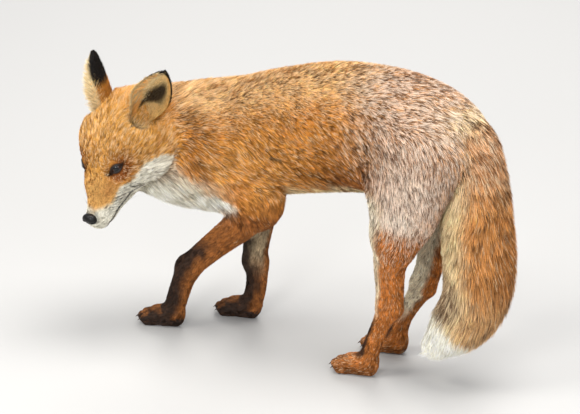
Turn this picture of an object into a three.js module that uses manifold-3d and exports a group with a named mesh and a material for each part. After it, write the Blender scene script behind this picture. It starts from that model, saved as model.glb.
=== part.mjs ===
// A red fox, life size, standing with its head lowered and turned to its left.
// Millimetres. +Z is up, the floor is z = 0, the fox heads towards -X and its left side is -Y.
// The body is a smooth union of lofts: each loft has a spine (a Catmull-Rom curve) and a section that
// changes along it (half width, half height above and half height below). The union is meshed node
// by node at a cell size that suits the part, then the nodes are parted from each other by thin cuts.
import * as THREE from 'three';
import { mergeVertices } from 'three/addons/utils/BufferGeometryUtils.js';
import Module from 'manifold-3d';

const wasm = await Module();
wasm.setup();

// ---------------------------------------------------------------- driving sizes
const GAP = 0.3;                 // clear space between two nodes that touch
const HALF_GAP = GAP / 2;
const FLOOR_CUT = 0;             // every paw ends in a small flat at this height
const EYE_RADIUS = 9.5;
const NOSE_RADII = [7, 10.5, 8.5];
const EAR_HEIGHT = 76, EAR_HALF_WIDTH = 25, EAR_CUP_DEPTH = 19, EAR_WALL = 3.6;
const CLAW_LENGTH = 9.5, CLAW_RADIUS = 2;
// cell sizes of the faceted surfaces
const CELL = {
  trunk: [42, 26, 25], neck: [24, 24, 21], head: [15.6, 15.6, 15.6], muzzle: [10.8, 10.8, 10.8], tail: [22, 21.5, 32], root: [17, 19, 19],
  thigh: [17, 16, 21], shank: [12.8, 11, 24], cannon: [11.6, 10.5, 21], paw: [9.9, 8.6, 10.4],
};

// ---------------------------------------------------------------- head frame
// origin midway between the eyes; rows are the forward, left and up axes of the head
const HEAD_ORIGIN = [-201.1, -136.7, 245.2];
const HEAD_FORWARD = [-0.019, -0.659, -0.752];
const HEAD_LEFT = [0.980, -0.162, 0.117];

const V3 = (a) => new THREE.Vector3(a[0], a[1], a[2]);
const hf = V3(HEAD_FORWARD).normalize();
const hl = V3(HEAD_LEFT).addScaledVector(hf, -V3(HEAD_LEFT).dot(hf)).normalize();
const hu = new THREE.Vector3().crossVectors(hf, hl);
const headDir = (a) => new THREE.Vector3().addScaledVector(hf, a[0]).addScaledVector(hl, a[1]).addScaledVector(hu, a[2]);
const headPoint = (a) => headDir(a).add(V3(HEAD_ORIGIN));

// ---------------------------------------------------------------- section tables
// trunk: along, across, height of back, height of belly, half width
const TRUNK = [
  [276, 4, 345, 285, 26],    // root of the tail
  [262, 4, 362, 262, 44],
  [232, 3, 382, 244, 60],
  [190, 2, 395, 236, 69],    // hips
  [140, 0, 401, 236, 69],    // loin, the highest part of the back
  [76, -2, 396, 226, 68],
  [0, -4, 374, 209, 68],
  [-60, -6, 352, 194, 68],   // ribs behind the elbow
  [-112, -14, 334, 172, 62], // shoulders
  [-146, -26, 320, 172, 54], // breast
];
// the others: centre x, y, z, half width, half height above, half height below
const NECK = [[-92, -10, 250, 60, 84, 76], [-132, -24, 248, 57, 86, 72], [-164, -42, 250, 52, 86, 67], [-190, -66, 258, 46, 80, 62]];
const SKULL = [[-86, 0, -12, 48, 37, 42], [-64, 0, -12, 60, 41, 51], [-42, 0, -12, 62, 41, 55], [-20, 0, -13, 50.5, 36.5, 53], [0, 0, -16, 34, 28.5, 49], [14, 0, -19, 27, 23, 42]];
const MUZZLE = [[-8, 0, -20, 27.5, 26, 44], [14, 0, -23, 25, 22.5, 40], [32, 0, -26, 21, 18.5, 33.5], [46, 0, -28, 18.5, 15.5, 28], [57, 0, -28, 15.5, 12.5, 22.5]];
const RUFF = [[-8, 34, -34, 14, 14, 20], [-36, 44, -42, 19, 17, 25], [-64, 54, -42, 14, 13, 20]];
// near (left) and far (right) legs, from the body down; half height above is towards the rump
const THIGH_L = [[212, -36, 312, 34, 50, 52], [207, -44, 268, 32, 50, 56], [200, -48, 228, 27, 42, 56], [186, -48, 190, 21, 27, 38]];
const SHANK_L = [[190, -48, 196, 22, 26, 36], [180, -47, 160, 17, 20, 26], [178, -46, 128, 14, 19, 21], [177, -45, 102, 13, 19, 20]];
const HOCK_L = [[178, -45, 100, 12, 16, 19], [168, -45, 78, 11, 10.5, 15], [156, -45, 50, 11, 10, 13.5], [148, -45, 26, 12, 11.5, 14]];
const THIGH_R = [[212, 44, 312, 34, 50, 52], [210, 50, 268, 32, 50, 56], [206, 52, 228, 27, 42, 50], [196, 50, 190, 21, 27, 34]];
const SHANK_R = [[200, 50, 196, 22, 26, 36], [190, 47, 160, 17, 20, 26], [184, 44, 128, 14, 18, 20], [176, 42, 100, 13, 18, 20]];
const HOCK_R = [[176, 42, 98, 12, 15.5, 18], [164, 40, 76, 11, 11.5, 15], [150, 38, 50, 11, 10.5, 13.5], [143, 36, 26, 12, 11.5, 14]];
const UPPER_L = [[-92, -40, 262, 26, 52, 48], [-70, -46, 232, 26, 50, 44], [-34, -46, 206, 22, 42, 36], [-8, -44, 196, 18, 26, 28]];
const FOREARM_L = [[-8, -44, 203, 18, 22, 24], [-44, -45, 168, 16, 21, 22], [-84, -46, 132, 14, 18, 19], [-120, -46, 98, 13, 16, 17], [-130, -46, 88, 13, 15, 16]];
const PASTERN_L = [[-128, -46, 92, 13, 17, 16], [-139, -45, 68, 12.5, 16.5, 14], [-149, -43, 42, 12.5, 16, 13.5], [-155, -42, 24, 13, 15, 14]];
const UPPER_R = [[-92, 28, 262, 26, 52, 48], [-84, 34, 226, 26, 46, 42], [-66, 36, 196, 22, 34, 34], [-56, 36, 180, 18, 24, 24]];
const FOREARM_R = [[-60, 36, 186, 19, 24, 26], [-66, 36, 150, 16, 20, 23], [-72, 36, 114, 14, 17, 21], [-78, 36, 80, 13, 16, 18]];
const PASTERN_R = [[-73, 36, 82, 13, 16, 17.5], [-73, 36, 60, 12.5, 14, 16], [-76, 36, 40, 12.5, 14, 15], [-82, 36, 24, 13, 15, 14]];
// the brush, from its root to its white tip
const TAIL = [[254, 4, 342, 30, 26, 26], [268, 4, 312, 36, 34, 34], [273, 3, 272, 42, 41, 42], [275, 1, 228, 46, 47, 48], [278, -2, 184, 47, 51, 46], [279, -6, 140, 47, 50, 43], [272, -12, 106, 44, 45, 42], [255, -18, 76, 37, 35, 39], [235, -24, 54, 20, 19, 22]];
// paws: centre of the pad, heading in degrees from -X, hind or fore
const PAWS = { hind_l: [132, -45, 0, true], hind_r: [128, 36, 4, true], fore_l: [-168, -42, 6, false], fore_r: [-98, 36, 0, false] };
// toes: start and end across the paw, reach in front of the pad centre, half width
const TOES = [[-9, -14.5, 23, 6.4], [-4.2, -6, 31, 7], [4.2, 6, 31, 7], [9, 14.5, 23, 6.4]];

// ---------------------------------------------------------------- lofts
const spread = (rows, pick, steps) => {
  const curve = new THREE.CatmullRomCurve3(rows.map((r) => new THREE.Vector3(...pick(r))), false, 'catmullrom', 0.5);
  const n = (rows.length - 1) * steps, out = [];
  for (let i = 0; i <= n; i++) out.push(curve.getPoint(i / n));
  return out;
};

class Loft {
  constructor(name, rows, side, blend, caps = [1, 1], steps = 5, inHead = false) {
    this.name = name; this.blend = blend; this.caps = caps;
    let spine = spread(rows, (r) => [r[0], r[1], r[2]], steps);
    const size = spread(rows, (r) => [r[3], r[4], r[5]], steps);
    let sideDir = V3(side);
    if (inHead) { spine = spine.map((p) => headPoint([p.x, p.y, p.z])); sideDir = headDir(side); }
    const n = spine.length, tangent = [], left = [], up = [];
    for (let i = 0; i < n; i++) {
      const a = spine[Math.max(i - 1, 0)], b = spine[Math.min(i + 1, n - 1)];
      const t = new THREE.Vector3().subVectors(b, a).normalize();
      const l = sideDir.clone().addScaledVector(t, -sideDir.dot(t)).normalize();
      tangent.push(t); left.push(l); up.push(new THREE.Vector3().crossVectors(t, l));
    }
    const flat = (list) => Float64Array.from(list.flatMap((v) => [v.x, v.y, v.z]));
    this.P = flat(spine); this.T = flat(tangent); this.L = flat(left); this.U = flat(up); this.S = flat(size);
    this.n = n - 1;
    const reach = Math.max(...this.S) + 41;
    this.lo = [0, 1, 2].map((k) => Math.min(...spine.map((p) => p.getComponent(k))) - reach);
    this.hi = [0, 1, 2].map((k) => Math.max(...spine.map((p) => p.getComponent(k))) + reach);
  }
  near(x, y, z) {
    return x > this.lo[0] && x < this.hi[0] && y > this.lo[1] && y < this.hi[1] && z > this.lo[2] && z < this.hi[2];
  }
  // distance to the loft's surface, negative inside
  distance(x, y, z) {
    const { P, T, L, U, S, n } = this;
    let best = 1e18, bi = 0, bf = 0;
    for (let i = 0; i < n; i++) {
      const j = 3 * i;
      const bx = P[j + 3] - P[j], by = P[j + 4] - P[j + 1], bz = P[j + 5] - P[j + 2];
      const qx = x - P[j], qy = y - P[j + 1], qz = z - P[j + 2];
      let h = (qx * bx + qy * by + qz * bz) / (bx * bx + by * by + bz * bz);
      h = h < 0 ? 0 : h > 1 ? 1 : h;
      const ex = qx - h * bx, ey = qy - h * by, ez = qz - h * bz, d = ex * ex + ey * ey + ez * ez;
      if (d < best) { best = d; bi = i; bf = h; }
    }
    const j = 3 * bi, g = 1 - bf, mix = (A, k) => A[j + k] * g + A[j + k + 3] * bf;
    const qx = x - mix(P, 0), qy = y - mix(P, 1), qz = z - mix(P, 2);
    const a = qx * mix(L, 0) + qy * mix(L, 1) + qz * mix(L, 2);
    const b = qx * mix(U, 0) + qy * mix(U, 1) + qz * mix(U, 2);
    let s = qx * mix(T, 0) + qy * mix(T, 1) + qz * mix(T, 2);
    const w = mix(S, 0), h = b > 0 ? mix(S, 1) : mix(S, 2), m = Math.min(w, h);
    const first = bi + bf <= 1e-6, last = bi + bf >= n - 1e-6;
    if (!first && !last) s = 0;
    const c = (first ? this.caps[0] : this.caps[1]) * m;
    const k0 = Math.hypot(a / w, b / h, s / c), k1 = Math.hypot(a / (w * w), b / (h * h), s / (c * c));
    return k0 < 0.25 ? (k0 - 1) * m : (k0 * (k0 - 1)) / Math.max(k1, 1e-9);
  }
}

const Y = [0, 1, 0];
const mirrored = (rows) => rows.map((r) => [r[0], -r[1], ...r.slice(2)]);
const lofts = [
  new Loft('trunk', TRUNK.map(([x, y, t, b, w]) => [x, y, (t + b) / 2, w, (t - b) / 2, (t - b) / 2]), Y, 10, [0.8, 0.9]),
  new Loft('neck', NECK, [0.54, -0.85, 0], 30, [1, 0.7]),
  new Loft('skull', SKULL, Y, 24, [0.8, 0.8], 5, true),
  new Loft('muzzle', MUZZLE, Y, 16, [0.8, 1], 5, true),
  new Loft('ruff_l', RUFF, Y, 18, [1, 1], 5, true),
  new Loft('ruff_r', mirrored(RUFF), Y, 18, [1, 1], 5, true),
  new Loft('thigh_l', THIGH_L, Y, 30), new Loft('shank_l', SHANK_L, Y, 14), new Loft('hock_l', HOCK_L, Y, 8),
  new Loft('thigh_r', THIGH_R, Y, 30), new Loft('shank_r', SHANK_R, Y, 14), new Loft('hock_r', HOCK_R, Y, 8),
  new Loft('upper_l', UPPER_L, Y, 26), new Loft('forearm_l', FOREARM_L, Y, 16), new Loft('pastern_l', PASTERN_L, Y, 10),
  new Loft('upper_r', UPPER_R, Y, 26), new Loft('forearm_r', FOREARM_R, Y, 16), new Loft('pastern_r', PASTERN_R, Y, 10),
];
// a point of a paw, from its own axes: ahead, across and up
const pawPoint = (key, ahead, across, up) => {
  const [cx, cy, heading] = PAWS[key], a = THREE.MathUtils.degToRad(heading);
  return [cx - Math.cos(a) * ahead + Math.sin(a) * across, cy - Math.sin(a) * ahead - Math.cos(a) * across, up];
};
for (const [key, [, , heading, hind]] of Object.entries(PAWS)) {
  const a = THREE.MathUtils.degToRad(heading), side = [Math.sin(a), -Math.cos(a), 0], w = hind ? 16 : 17;
  const P = (x, y, z) => pawPoint(key, x, y, z);
  lofts.push(new Loft('pad_' + key, [[...P(-17, 0, 15), 11, 12, 15.2], [...P(0, 0, 15), w, 13, 17], [...P(13, 0, 14), w - 1, 11, 15.4]], side, 9));
  for (const [y0, y1, x1, r] of TOES) {
    lofts.push(new Loft('toe_' + key, [[...P(8, y0, 12), 6, 6.5, 12.6], [...P(x1 * 0.62, (y0 + y1) / 2, 12.5), r, 7.2, 13.4], [...P(x1, y1, 9), r * 0.93, 6.8, 9.8]], side, 3.2, [1, 1], 3));
  }
}
const tailLoft = new Loft('tail', TAIL, Y, 12, [0.8, 1.1]);
const body = [...lofts, tailLoft];

const smin = (a, b, k) => { const h = Math.max(k - Math.abs(a - b), 0) / k; return Math.min(a, b) - h * h * k * 0.25; };
// distance to the smooth union of a list of lofts
const union = (list) => (x, y, z) => {
  let d = 1e3;
  for (const l of list) d = smin(d, l.near(x, y, z) ? l.distance(x, y, z) : 1e3, l.blend);
  return d;
};
const bodyField = union(body), tailField = union([tailLoft]);

// ---------------------------------------------------------------- meshing
const solidOf = (geometry) => {
  geometry.deleteAttribute('normal'); geometry.deleteAttribute('uv');
  const g = mergeVertices(geometry, 1e-4);
  return new wasm.Manifold(new wasm.Mesh({ numProp: 3, vertProperties: new Float32Array(g.attributes.position.array), triVerts: new Uint32Array(g.index.array) }));
};

// dual mesh of field < 0 inside the box lo..hi, with vertices drawn on to the surface;
// the grid is refined a little until no edge is shared by more than two faces
function skin(field, lo, hi, cell, tries = 8) {
  const n = [0, 1, 2].map((k) => Math.max(2, Math.round((hi[k] - lo[k]) / cell[k])));
  const pull = 0.3 * Math.min(...cell);
  const step = [0, 1, 2].map((k) => (hi[k] - lo[k]) / n[k]);
  const at = (i, k) => lo[k] + (i - 1) * step[k];
  const N = n.map((v) => v + 3);
  // closed by the box: half a cell inside its faces
  const f = (x, y, z) => Math.max(field(x, y, z), lo[0] - x, x - hi[0], lo[1] - y, y - hi[1], lo[2] - z, z - hi[2]);
  const D = new Float64Array(N[0] * N[1] * N[2]), id = (i, j, k) => (i * N[1] + j) * N[2] + k;
  for (let i = 0; i < N[0]; i++) for (let j = 0; j < N[1]; j++) for (let k = 0; k < N[2]; k++) {
    const d = f(at(i, 0), at(j, 1), at(k, 2)); D[id(i, j, k)] = Math.abs(d) < 1e-6 ? 1e-6 : d;
  }
  const cellOf = new Int32Array(D.length).fill(-1), pos = [], index = [];
  for (let i = 0; i < N[0] - 1; i++) for (let j = 0; j < N[1] - 1; j++) for (let k = 0; k < N[2] - 1; k++) {
    let sx = 0, sy = 0, sz = 0, c = 0;
    for (let e = 0; e < 12; e++) {
      const axis = e >> 2, u = e & 1, v = (e >> 1) & 1;
      const o = axis === 0 ? [0, u, v] : axis === 1 ? [u, 0, v] : [u, v, 0];
      const p = [...o]; p[axis] = 1;
      const a = D[id(i + o[0], j + o[1], k + o[2])], b = D[id(i + p[0], j + p[1], k + p[2])];
      if ((a < 0) === (b < 0)) continue;
      const t = a / (a - b);
      sx += o[0] + (axis === 0 ? t : 0); sy += o[1] + (axis === 1 ? t : 0); sz += o[2] + (axis === 2 ? t : 0); c++;
    }
    if (!c) continue;
    let x = at(i, 0) + (sx / c) * step[0], y = at(j, 1) + (sy / c) * step[1], z = at(k, 2) + (sz / c) * step[2];
    for (let pass = 0; pass < 3; pass++) {
      const h = 0.4, d = f(x, y, z);
      const gx = (f(x + h, y, z) - f(x - h, y, z)) / (2 * h), gy = (f(x, y + h, z) - f(x, y - h, z)) / (2 * h), gz = (f(x, y, z + h) - f(x, y, z - h)) / (2 * h);
      const m = Math.max(gx * gx + gy * gy + gz * gz, 0.25), s = Math.max(-pull, Math.min(pull, d / m));
      x -= gx * s; y -= gy * s; z -= gz * s;
    }
    cellOf[id(i, j, k)] = pos.length / 3; pos.push(x, y, z);
  }
  const quad = (a, b, c, d, flip) => { if (flip) index.push(a, c, b, a, d, c); else index.push(a, b, c, a, c, d); };
  for (let i = 1; i < N[0] - 1; i++) for (let j = 1; j < N[1] - 1; j++) for (let k = 1; k < N[2] - 1; k++) {
    const a = D[id(i, j, k)] < 0;
    if (a !== D[id(i + 1, j, k)] < 0) quad(cellOf[id(i, j, k)], cellOf[id(i, j - 1, k)], cellOf[id(i, j - 1, k - 1)], cellOf[id(i, j, k - 1)], !a);
    if (a !== D[id(i, j + 1, k)] < 0) quad(cellOf[id(i, j, k)], cellOf[id(i - 1, j, k)], cellOf[id(i - 1, j, k - 1)], cellOf[id(i, j, k - 1)], a);
    if (a !== D[id(i, j, k + 1)] < 0) quad(cellOf[id(i, j, k)], cellOf[id(i - 1, j, k)], cellOf[id(i - 1, j - 1, k)], cellOf[id(i, j - 1, k)], !a);
  }
  const edges = new Map();
  let pinched = false;
  for (let t = 0; t < index.length; t += 3) for (let k = 0; k < 3; k++) {
    const a = index[t + k], b = index[t + (k + 1) % 3], s = a < b ? a * 1e6 + b : b * 1e6 + a, c = (edges.get(s) || 0) + 1;
    edges.set(s, c); if (c > 2) pinched = true;
  }
  if (pinched && tries > 0) return skin(field, lo, hi, cell.map((v) => v * 0.94), tries - 1);
  return new wasm.Manifold(new wasm.Mesh({ numProp: 3, vertProperties: new Float32Array(pos), triVerts: new Uint32Array(index) }));
}

// a block from lo to hi, in the row's axes
const block = (lo, hi) => {
  const g = new THREE.BoxGeometry(hi[0] - lo[0], hi[1] - lo[1], hi[2] - lo[2]);
  g.translate((lo[0] + hi[0]) / 2, (lo[1] + hi[1]) / 2, (lo[2] + hi[2]) / 2);
  return solidOf(g);
};
// everything on the side of a plane that its normal points to
const beyond = (point, normal) => {
  const g = new THREE.BoxGeometry(900, 900, 900); g.translate(0, 0, 450);
  g.applyQuaternion(new THREE.Quaternion().setFromUnitVectors(new THREE.Vector3(0, 0, 1), normal.clone().normalize()));
  g.translate(point.x, point.y, point.z);
  return solidOf(g);
};
const shifted = (p, n, d) => p.clone().addScaledVector(n.clone().normalize(), d);
// the biggest body of a result
const largest = (m) => { const parts = m.decompose(); return parts.sort((a, b) => b.volume() - a.volume())[0]; };

// ---------------------------------------------------------------- closed shapes of the head
const ellipsoid = (centre, radii, across = 10, down = 7) => {
  const g = new THREE.SphereGeometry(1, across, down); g.scale(...radii);
  const m = new THREE.Matrix4().makeBasis(hf, hl, hu); g.applyMatrix4(m); g.translate(centre.x, centre.y, centre.z);
  return solidOf(g);
};

// an ear: a cupped leaf with a wall, from a little inside the head to its tip
function earShell(base, towardsTip, opening, side) {
  const D = headDir(towardsTip).normalize();
  const O = headDir(opening); O.addScaledVector(D, -O.dot(D)).normalize();
  const W = new THREE.Vector3().crossVectors(D, O).multiplyScalar(side);
  const B = headPoint(base), PH = THREE.MathUtils.degToRad(78), NU = 6, RINGS = [0, 0.24, 0.45, 0.63, 0.79, 0.92, 1], NV = RINGS.length - 1, ROOT = 12;
  const point = (u, v, inner) => {
    const t = Math.max(v, 0);
    const round = Math.sqrt(Math.max(1 - Math.pow(Math.max((t - 0.3) / 0.7, 0), 2.1), 0));
    const hw = Math.max(EAR_HALF_WIDTH * (0.8 + 0.2 * Math.sin(Math.min(t / 0.36, 1) * Math.PI / 2)) * round, 0.9);
    const cup = EAR_CUP_DEPTH * Math.pow(1 - t, 0.75) + 2;
    let x = (hw * Math.sin(u * PH)) / Math.sin(PH);
    let y = (-cup * (Math.cos(u * PH) - Math.cos(PH))) / (1 - Math.cos(PH)) - 10 * t * t + 6 * t;
    const wall = EAR_WALL * (1 - 0.5 * t) * (1 - 0.4 * u * u);
    if (inner) { y += wall; x *= Math.max(0, 1 - (wall * 0.55) / Math.max(hw, 1.2)); }
    x += 6 * t * (1 - t);
    return B.clone().addScaledVector(D, EAR_HEIGHT * v).addScaledVector(W, x).addScaledVector(O, y);
  };
  const pos = [], at = {}, index = [];
  for (let s = 0; s < 2; s++) for (let j = 0; j <= NV; j++) for (let i = 0; i <= NU; i++) {
    const v = -ROOT / EAR_HEIGHT + (1 + ROOT / EAR_HEIGHT) * RINGS[j];
    at[`${s},${i},${j}`] = pos.length / 3; pos.push(...point(-1 + (2 * i) / NU, v, s === 1).toArray());
  }
  const A = (s, i, j) => at[`${s},${i},${j}`];
  const quad = (a, b, c, d) => { if (side < 0) index.push(a, c, b, a, d, c); else index.push(a, b, c, a, c, d); };
  for (let j = 0; j < NV; j++) {
    for (let i = 0; i < NU; i++) {
      quad(A(0, i, j), A(0, i, j + 1), A(0, i + 1, j + 1), A(0, i + 1, j));
      quad(A(1, i, j), A(1, i + 1, j), A(1, i + 1, j + 1), A(1, i, j + 1));
    }
    quad(A(0, 0, j), A(1, 0, j), A(1, 0, j + 1), A(0, 0, j + 1));
    quad(A(0, NU, j), A(0, NU, j + 1), A(1, NU, j + 1), A(1, NU, j));
  }
  for (let i = 0; i < NU; i++) {
    quad(A(0, i, 0), A(0, i + 1, 0), A(1, i + 1, 0), A(1, i, 0));
    quad(A(0, i, NV), A(1, i, NV), A(1, i + 1, NV), A(0, i + 1, NV));
  }
  const g = new THREE.BufferGeometry();
  g.setAttribute('position', new THREE.Float32BufferAttribute(pos, 3)); g.setIndex(index);
  return solidOf(g);
}

// a claw: a short horn that leaves the toe forwards and bends down
function claw(root, ahead, grow) {
  const A = V3(ahead).normalize(), Z = new THREE.Vector3(0, 0, 1), S = new THREE.Vector3().crossVectors(A, Z);
  const N = 5, R = 3, pos = [], index = [];
  for (let j = 0; j < R; j++) {
    const t = j / R, r = (CLAW_RADIUS * (1 - 0.75 * t)) + grow;
    const c = V3(root).addScaledVector(A, CLAW_LENGTH * t).addScaledVector(Z, 0.9 - 5.2 * t * t);
    if (j === 0) c.addScaledVector(A, -grow);
    for (let i = 0; i < N; i++) {
      const a = (2 * Math.PI * i) / N, p = c.clone().addScaledVector(S, 0.72 * r * Math.cos(a)).addScaledVector(Z, r * Math.sin(a));
      pos.push(p.x, p.y, p.z);
    }
  }
  const tip = V3(root).addScaledVector(A, CLAW_LENGTH + grow).addScaledVector(Z, -4.6 - grow * 0.4), back = V3(root).addScaledVector(A, -grow).addScaledVector(Z, 0.9);
  const ti = pos.length / 3; pos.push(tip.x, tip.y, tip.z, back.x, back.y, back.z);
  for (let i = 0; i < N; i++) {
    const k = (i + 1) % N;
    for (let j = 0; j < R - 1; j++) index.push(j * N + i, (j + 1) * N + k, j * N + k, j * N + i, (j + 1) * N + i, (j + 1) * N + k);
    index.push((R - 1) * N + i, ti, (R - 1) * N + k, i, k, ti + 1);
  }
  const g = new THREE.BufferGeometry();
  g.setAttribute('position', new THREE.Float32BufferAttribute(pos, 3)); g.setIndex(index);
  let m = new wasm.Manifold(new wasm.Mesh({ numProp: 3, vertProperties: new Float32Array(pos), triVerts: new Uint32Array(index) }));
  if (m.volume() < 0) {
    const back2 = []; for (let i = 0; i < index.length; i += 3) back2.push(index[i], index[i + 2], index[i + 1]);
    m = new wasm.Manifold(new wasm.Mesh({ numProp: 3, vertProperties: new Float32Array(pos), triVerts: new Uint32Array(back2) }));
  }
  return m;
}

// ---------------------------------------------------------------- nodes
const PAINT = {
  head: ['#c0773f', 0.85], muzzle: ['#c98c5c', 0.8], jaw: ['#e0d6c8', 0.85], nose: ['#17130f', 0.35], eye: ['#1d120b', 0.08], ear: ['#a86c3c', 0.85],
  neck: ['#b9713b', 0.9], trunk: ['#b8763f', 0.9], rump: ['#b08561', 0.9], tail: ['#b98a5d', 0.9], tip: ['#d8cdbd', 0.9],
  leg: ['#a9622f', 0.9], thigh: ['#b18a68', 0.9], sock: ['#4a3020', 0.85], claw: ['#2a211a', 0.5],
};
const fox = new THREE.Group(); fox.name = 'red_fox';
let budget = 0;
// vertices on a fine grid, with the slivers that this folds flat taken out; null where an edge would be shared by more than two faces
const tidyAt = (solid, grid) => {
  const m = solid.getMesh(), p = m.vertProperties, np = m.numProp, key = new Map(), to = [], pos = [];
  for (let i = 0; i < p.length / np; i++) {
    const q = [0, 1, 2].map((k) => Math.round(p[np * i + k] * grid) / grid), s = q.join(',');
    if (!key.has(s)) { key.set(s, pos.length / 3); pos.push(...q); }
    to.push(key.get(s));
  }
  const tris = new Map();
  for (let i = 0; i < m.triVerts.length; i += 3) {
    const t = [to[m.triVerts[i]], to[m.triVerts[i + 1]], to[m.triVerts[i + 2]]];
    if (t[0] === t[1] || t[1] === t[2] || t[0] === t[2]) continue;
    const s = [...t].sort((a, b) => a - b).join(',');
    if (tris.has(s)) tris.delete(s); else tris.set(s, t);
  }
  const edges = new Map();
  for (const t of tris.values()) for (let k = 0; k < 3; k++) {
    const a = t[k], b = t[(k + 1) % 3], s = a < b ? a * 1e6 + b : b * 1e6 + a;
    edges.set(s, (edges.get(s) || 0) + 1);
  }
  for (const c of edges.values()) if (c !== 2) return null;
  return new wasm.Manifold(new wasm.Mesh({ numProp: 3, vertProperties: new Float32Array(pos), triVerts: new Uint32Array([...tris.values()].flat()) }));
};
const tidy = (solid) => {
  for (const grid of [100, 50, 25, 200, 16, 400, 10, 1000, 5000]) { const t = tidyAt(solid, grid); if (t) return t; }
  return solid;
};
const addNode = (name, rough, paint) => {
  const solid = tidy(rough);
  const m = solid.getMesh(), g = new THREE.BufferGeometry();
  const p = m.vertProperties, np = m.numProp, xyz = new Float32Array((p.length / np) * 3);
  for (let i = 0; i < p.length / np; i++) { xyz[3 * i] = p[np * i]; xyz[3 * i + 1] = p[np * i + 1]; xyz[3 * i + 2] = p[np * i + 2]; }
  g.setAttribute('position', new THREE.BufferAttribute(xyz, 3)); g.setIndex(new THREE.BufferAttribute(new Uint32Array(m.triVerts), 1));
  const out = mergeVertices(g, 1e-3); out.computeVertexNormals();
  const [color, roughness] = PAINT[paint];
  const mesh = new THREE.Mesh(out, new THREE.MeshStandardMaterial({ color, roughness, metalness: 0 }));
  mesh.name = name; fox.add(mesh); budget += m.triVerts.length / 3;
};

// head: parted from the neck behind the ruffs, from the muzzle in front of the eyes, from the jaw along the mouth
const NAPE = headPoint([-56, 0, -70]), NAPE_N = headDir([-0.8, 0, -0.6]);
const SNOUT_X = 13, MOUTH_Z = -39;
const BRIDGE = headPoint([SNOUT_X, 0, 0]), MOUTH = headPoint([SNOUT_X, 0, MOUTH_Z]);
const mouthN = headDir([-0.07, 0, -1]);
const eyes = { left: headPoint([-3.8, 25.3, -2.2]), right: headPoint([-3.8, -25.3, -2.2]) };
const noseAt = headPoint([66, 0, -19]);
const headLo = [-300, -235, 150], headHi = [-90, 20, 350];
const around = (pts, r) => [[0, 1, 2].map((k) => Math.min(...pts.map((p) => p.getComponent(k))) - r), [0, 1, 2].map((k) => Math.max(...pts.map((p) => p.getComponent(k))) + r)];

const skullBox = around([headPoint([-124, 0, -10]), headPoint([25, 0, -25])], 76);
let head = skin(bodyField, skullBox[0], skullBox[1], CELL.head)
  .subtract(beyond(shifted(NAPE, NAPE_N, -HALF_GAP), NAPE_N))
  .subtract(beyond(shifted(BRIDGE, hf, -HALF_GAP), hf));
for (const c of Object.values(eyes)) head = head.subtract(ellipsoid(c, [EYE_RADIUS + GAP, EYE_RADIUS + GAP, EYE_RADIUS + GAP], 9, 6));
head = largest(head);
const snoutBox = around([headPoint([5, 0, -24]), headPoint([60, 0, -28])], 44);
const snout = skin(bodyField, snoutBox[0], snoutBox[1], CELL.muzzle).intersect(beyond(shifted(BRIDGE, hf, HALF_GAP), hf));
const nostril = (side) => ellipsoid(headPoint([73, side * 6.3, -19.5]), [3.4, 2.4, 1.9], 6, 5);
const nose = ellipsoid(noseAt, NOSE_RADII).subtract(nostril(1)).subtract(nostril(-1));
const noseSeat = ellipsoid(noseAt, NOSE_RADII.map((r) => r + GAP));
const muzzle = largest(snout.subtract(beyond(shifted(MOUTH, mouthN, -HALF_GAP), mouthN)).subtract(noseSeat));
const jaw = largest(snout.intersect(beyond(shifted(MOUTH, mouthN, HALF_GAP), mouthN)).subtract(noseSeat));
addNode('head', head, 'head'); addNode('muzzle', muzzle, 'muzzle'); addNode('jaw', jaw, 'jaw'); addNode('nose', nose, 'nose');
for (const [side, c] of Object.entries(eyes)) addNode('eye_' + side, ellipsoid(c, [EYE_RADIUS, EYE_RADIUS, EYE_RADIUS], 9, 6), 'eye');
const seat = skin((x, y, z) => bodyField(x, y, z) - GAP - 1, skullBox[0], skullBox[1], CELL.head);
addNode('ear_left', largest(earShell([-80, 40, 8], [-0.506, 0.643, 0.561], [0.864, 0.398, 0.308], 1).subtract(seat)), 'ear');
addNode('ear_right', largest(earShell([-80, -35, 12], [-0.588, 0.108, 0.798], [0.468, -0.84, -0.086], -1).subtract(seat)), 'ear');

// legs: levels at which they are parted, from the floor up, and the block each leg stands in
const LEGS = {
  hind_l: { levels: [26, 92, 178, 224], lo: [70, -110], hi: [[230, 0], [230, 0], [262, 0], [270, 0]] },
  hind_r: { levels: [26, 92, 178, 224], lo: [70, 0], hi: [[230, 110], [230, 110], [262, 110], [270, 110]] },
  fore_l: { levels: [26, 84, 164, 212], lo: [-240, -110], hi: [[40, -2], [40, -2], [50, -2], [50, -20]], top: [-62, -110] },
  fore_r: { levels: [26, 84, 164, 212], lo: [-240, -2], hi: [[40, 110], [40, 110], [50, 110], [-18, 110]], top: [-112, 14] },
};
const PARTS = { hind: ['paw', 'metatarsus', 'shank', 'thigh'], fore: ['paw', 'pastern', 'forearm', 'upper_arm'] };
const legBlocks = [];
const legCells = [CELL.paw, CELL.cannon, CELL.shank, CELL.thigh];
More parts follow.
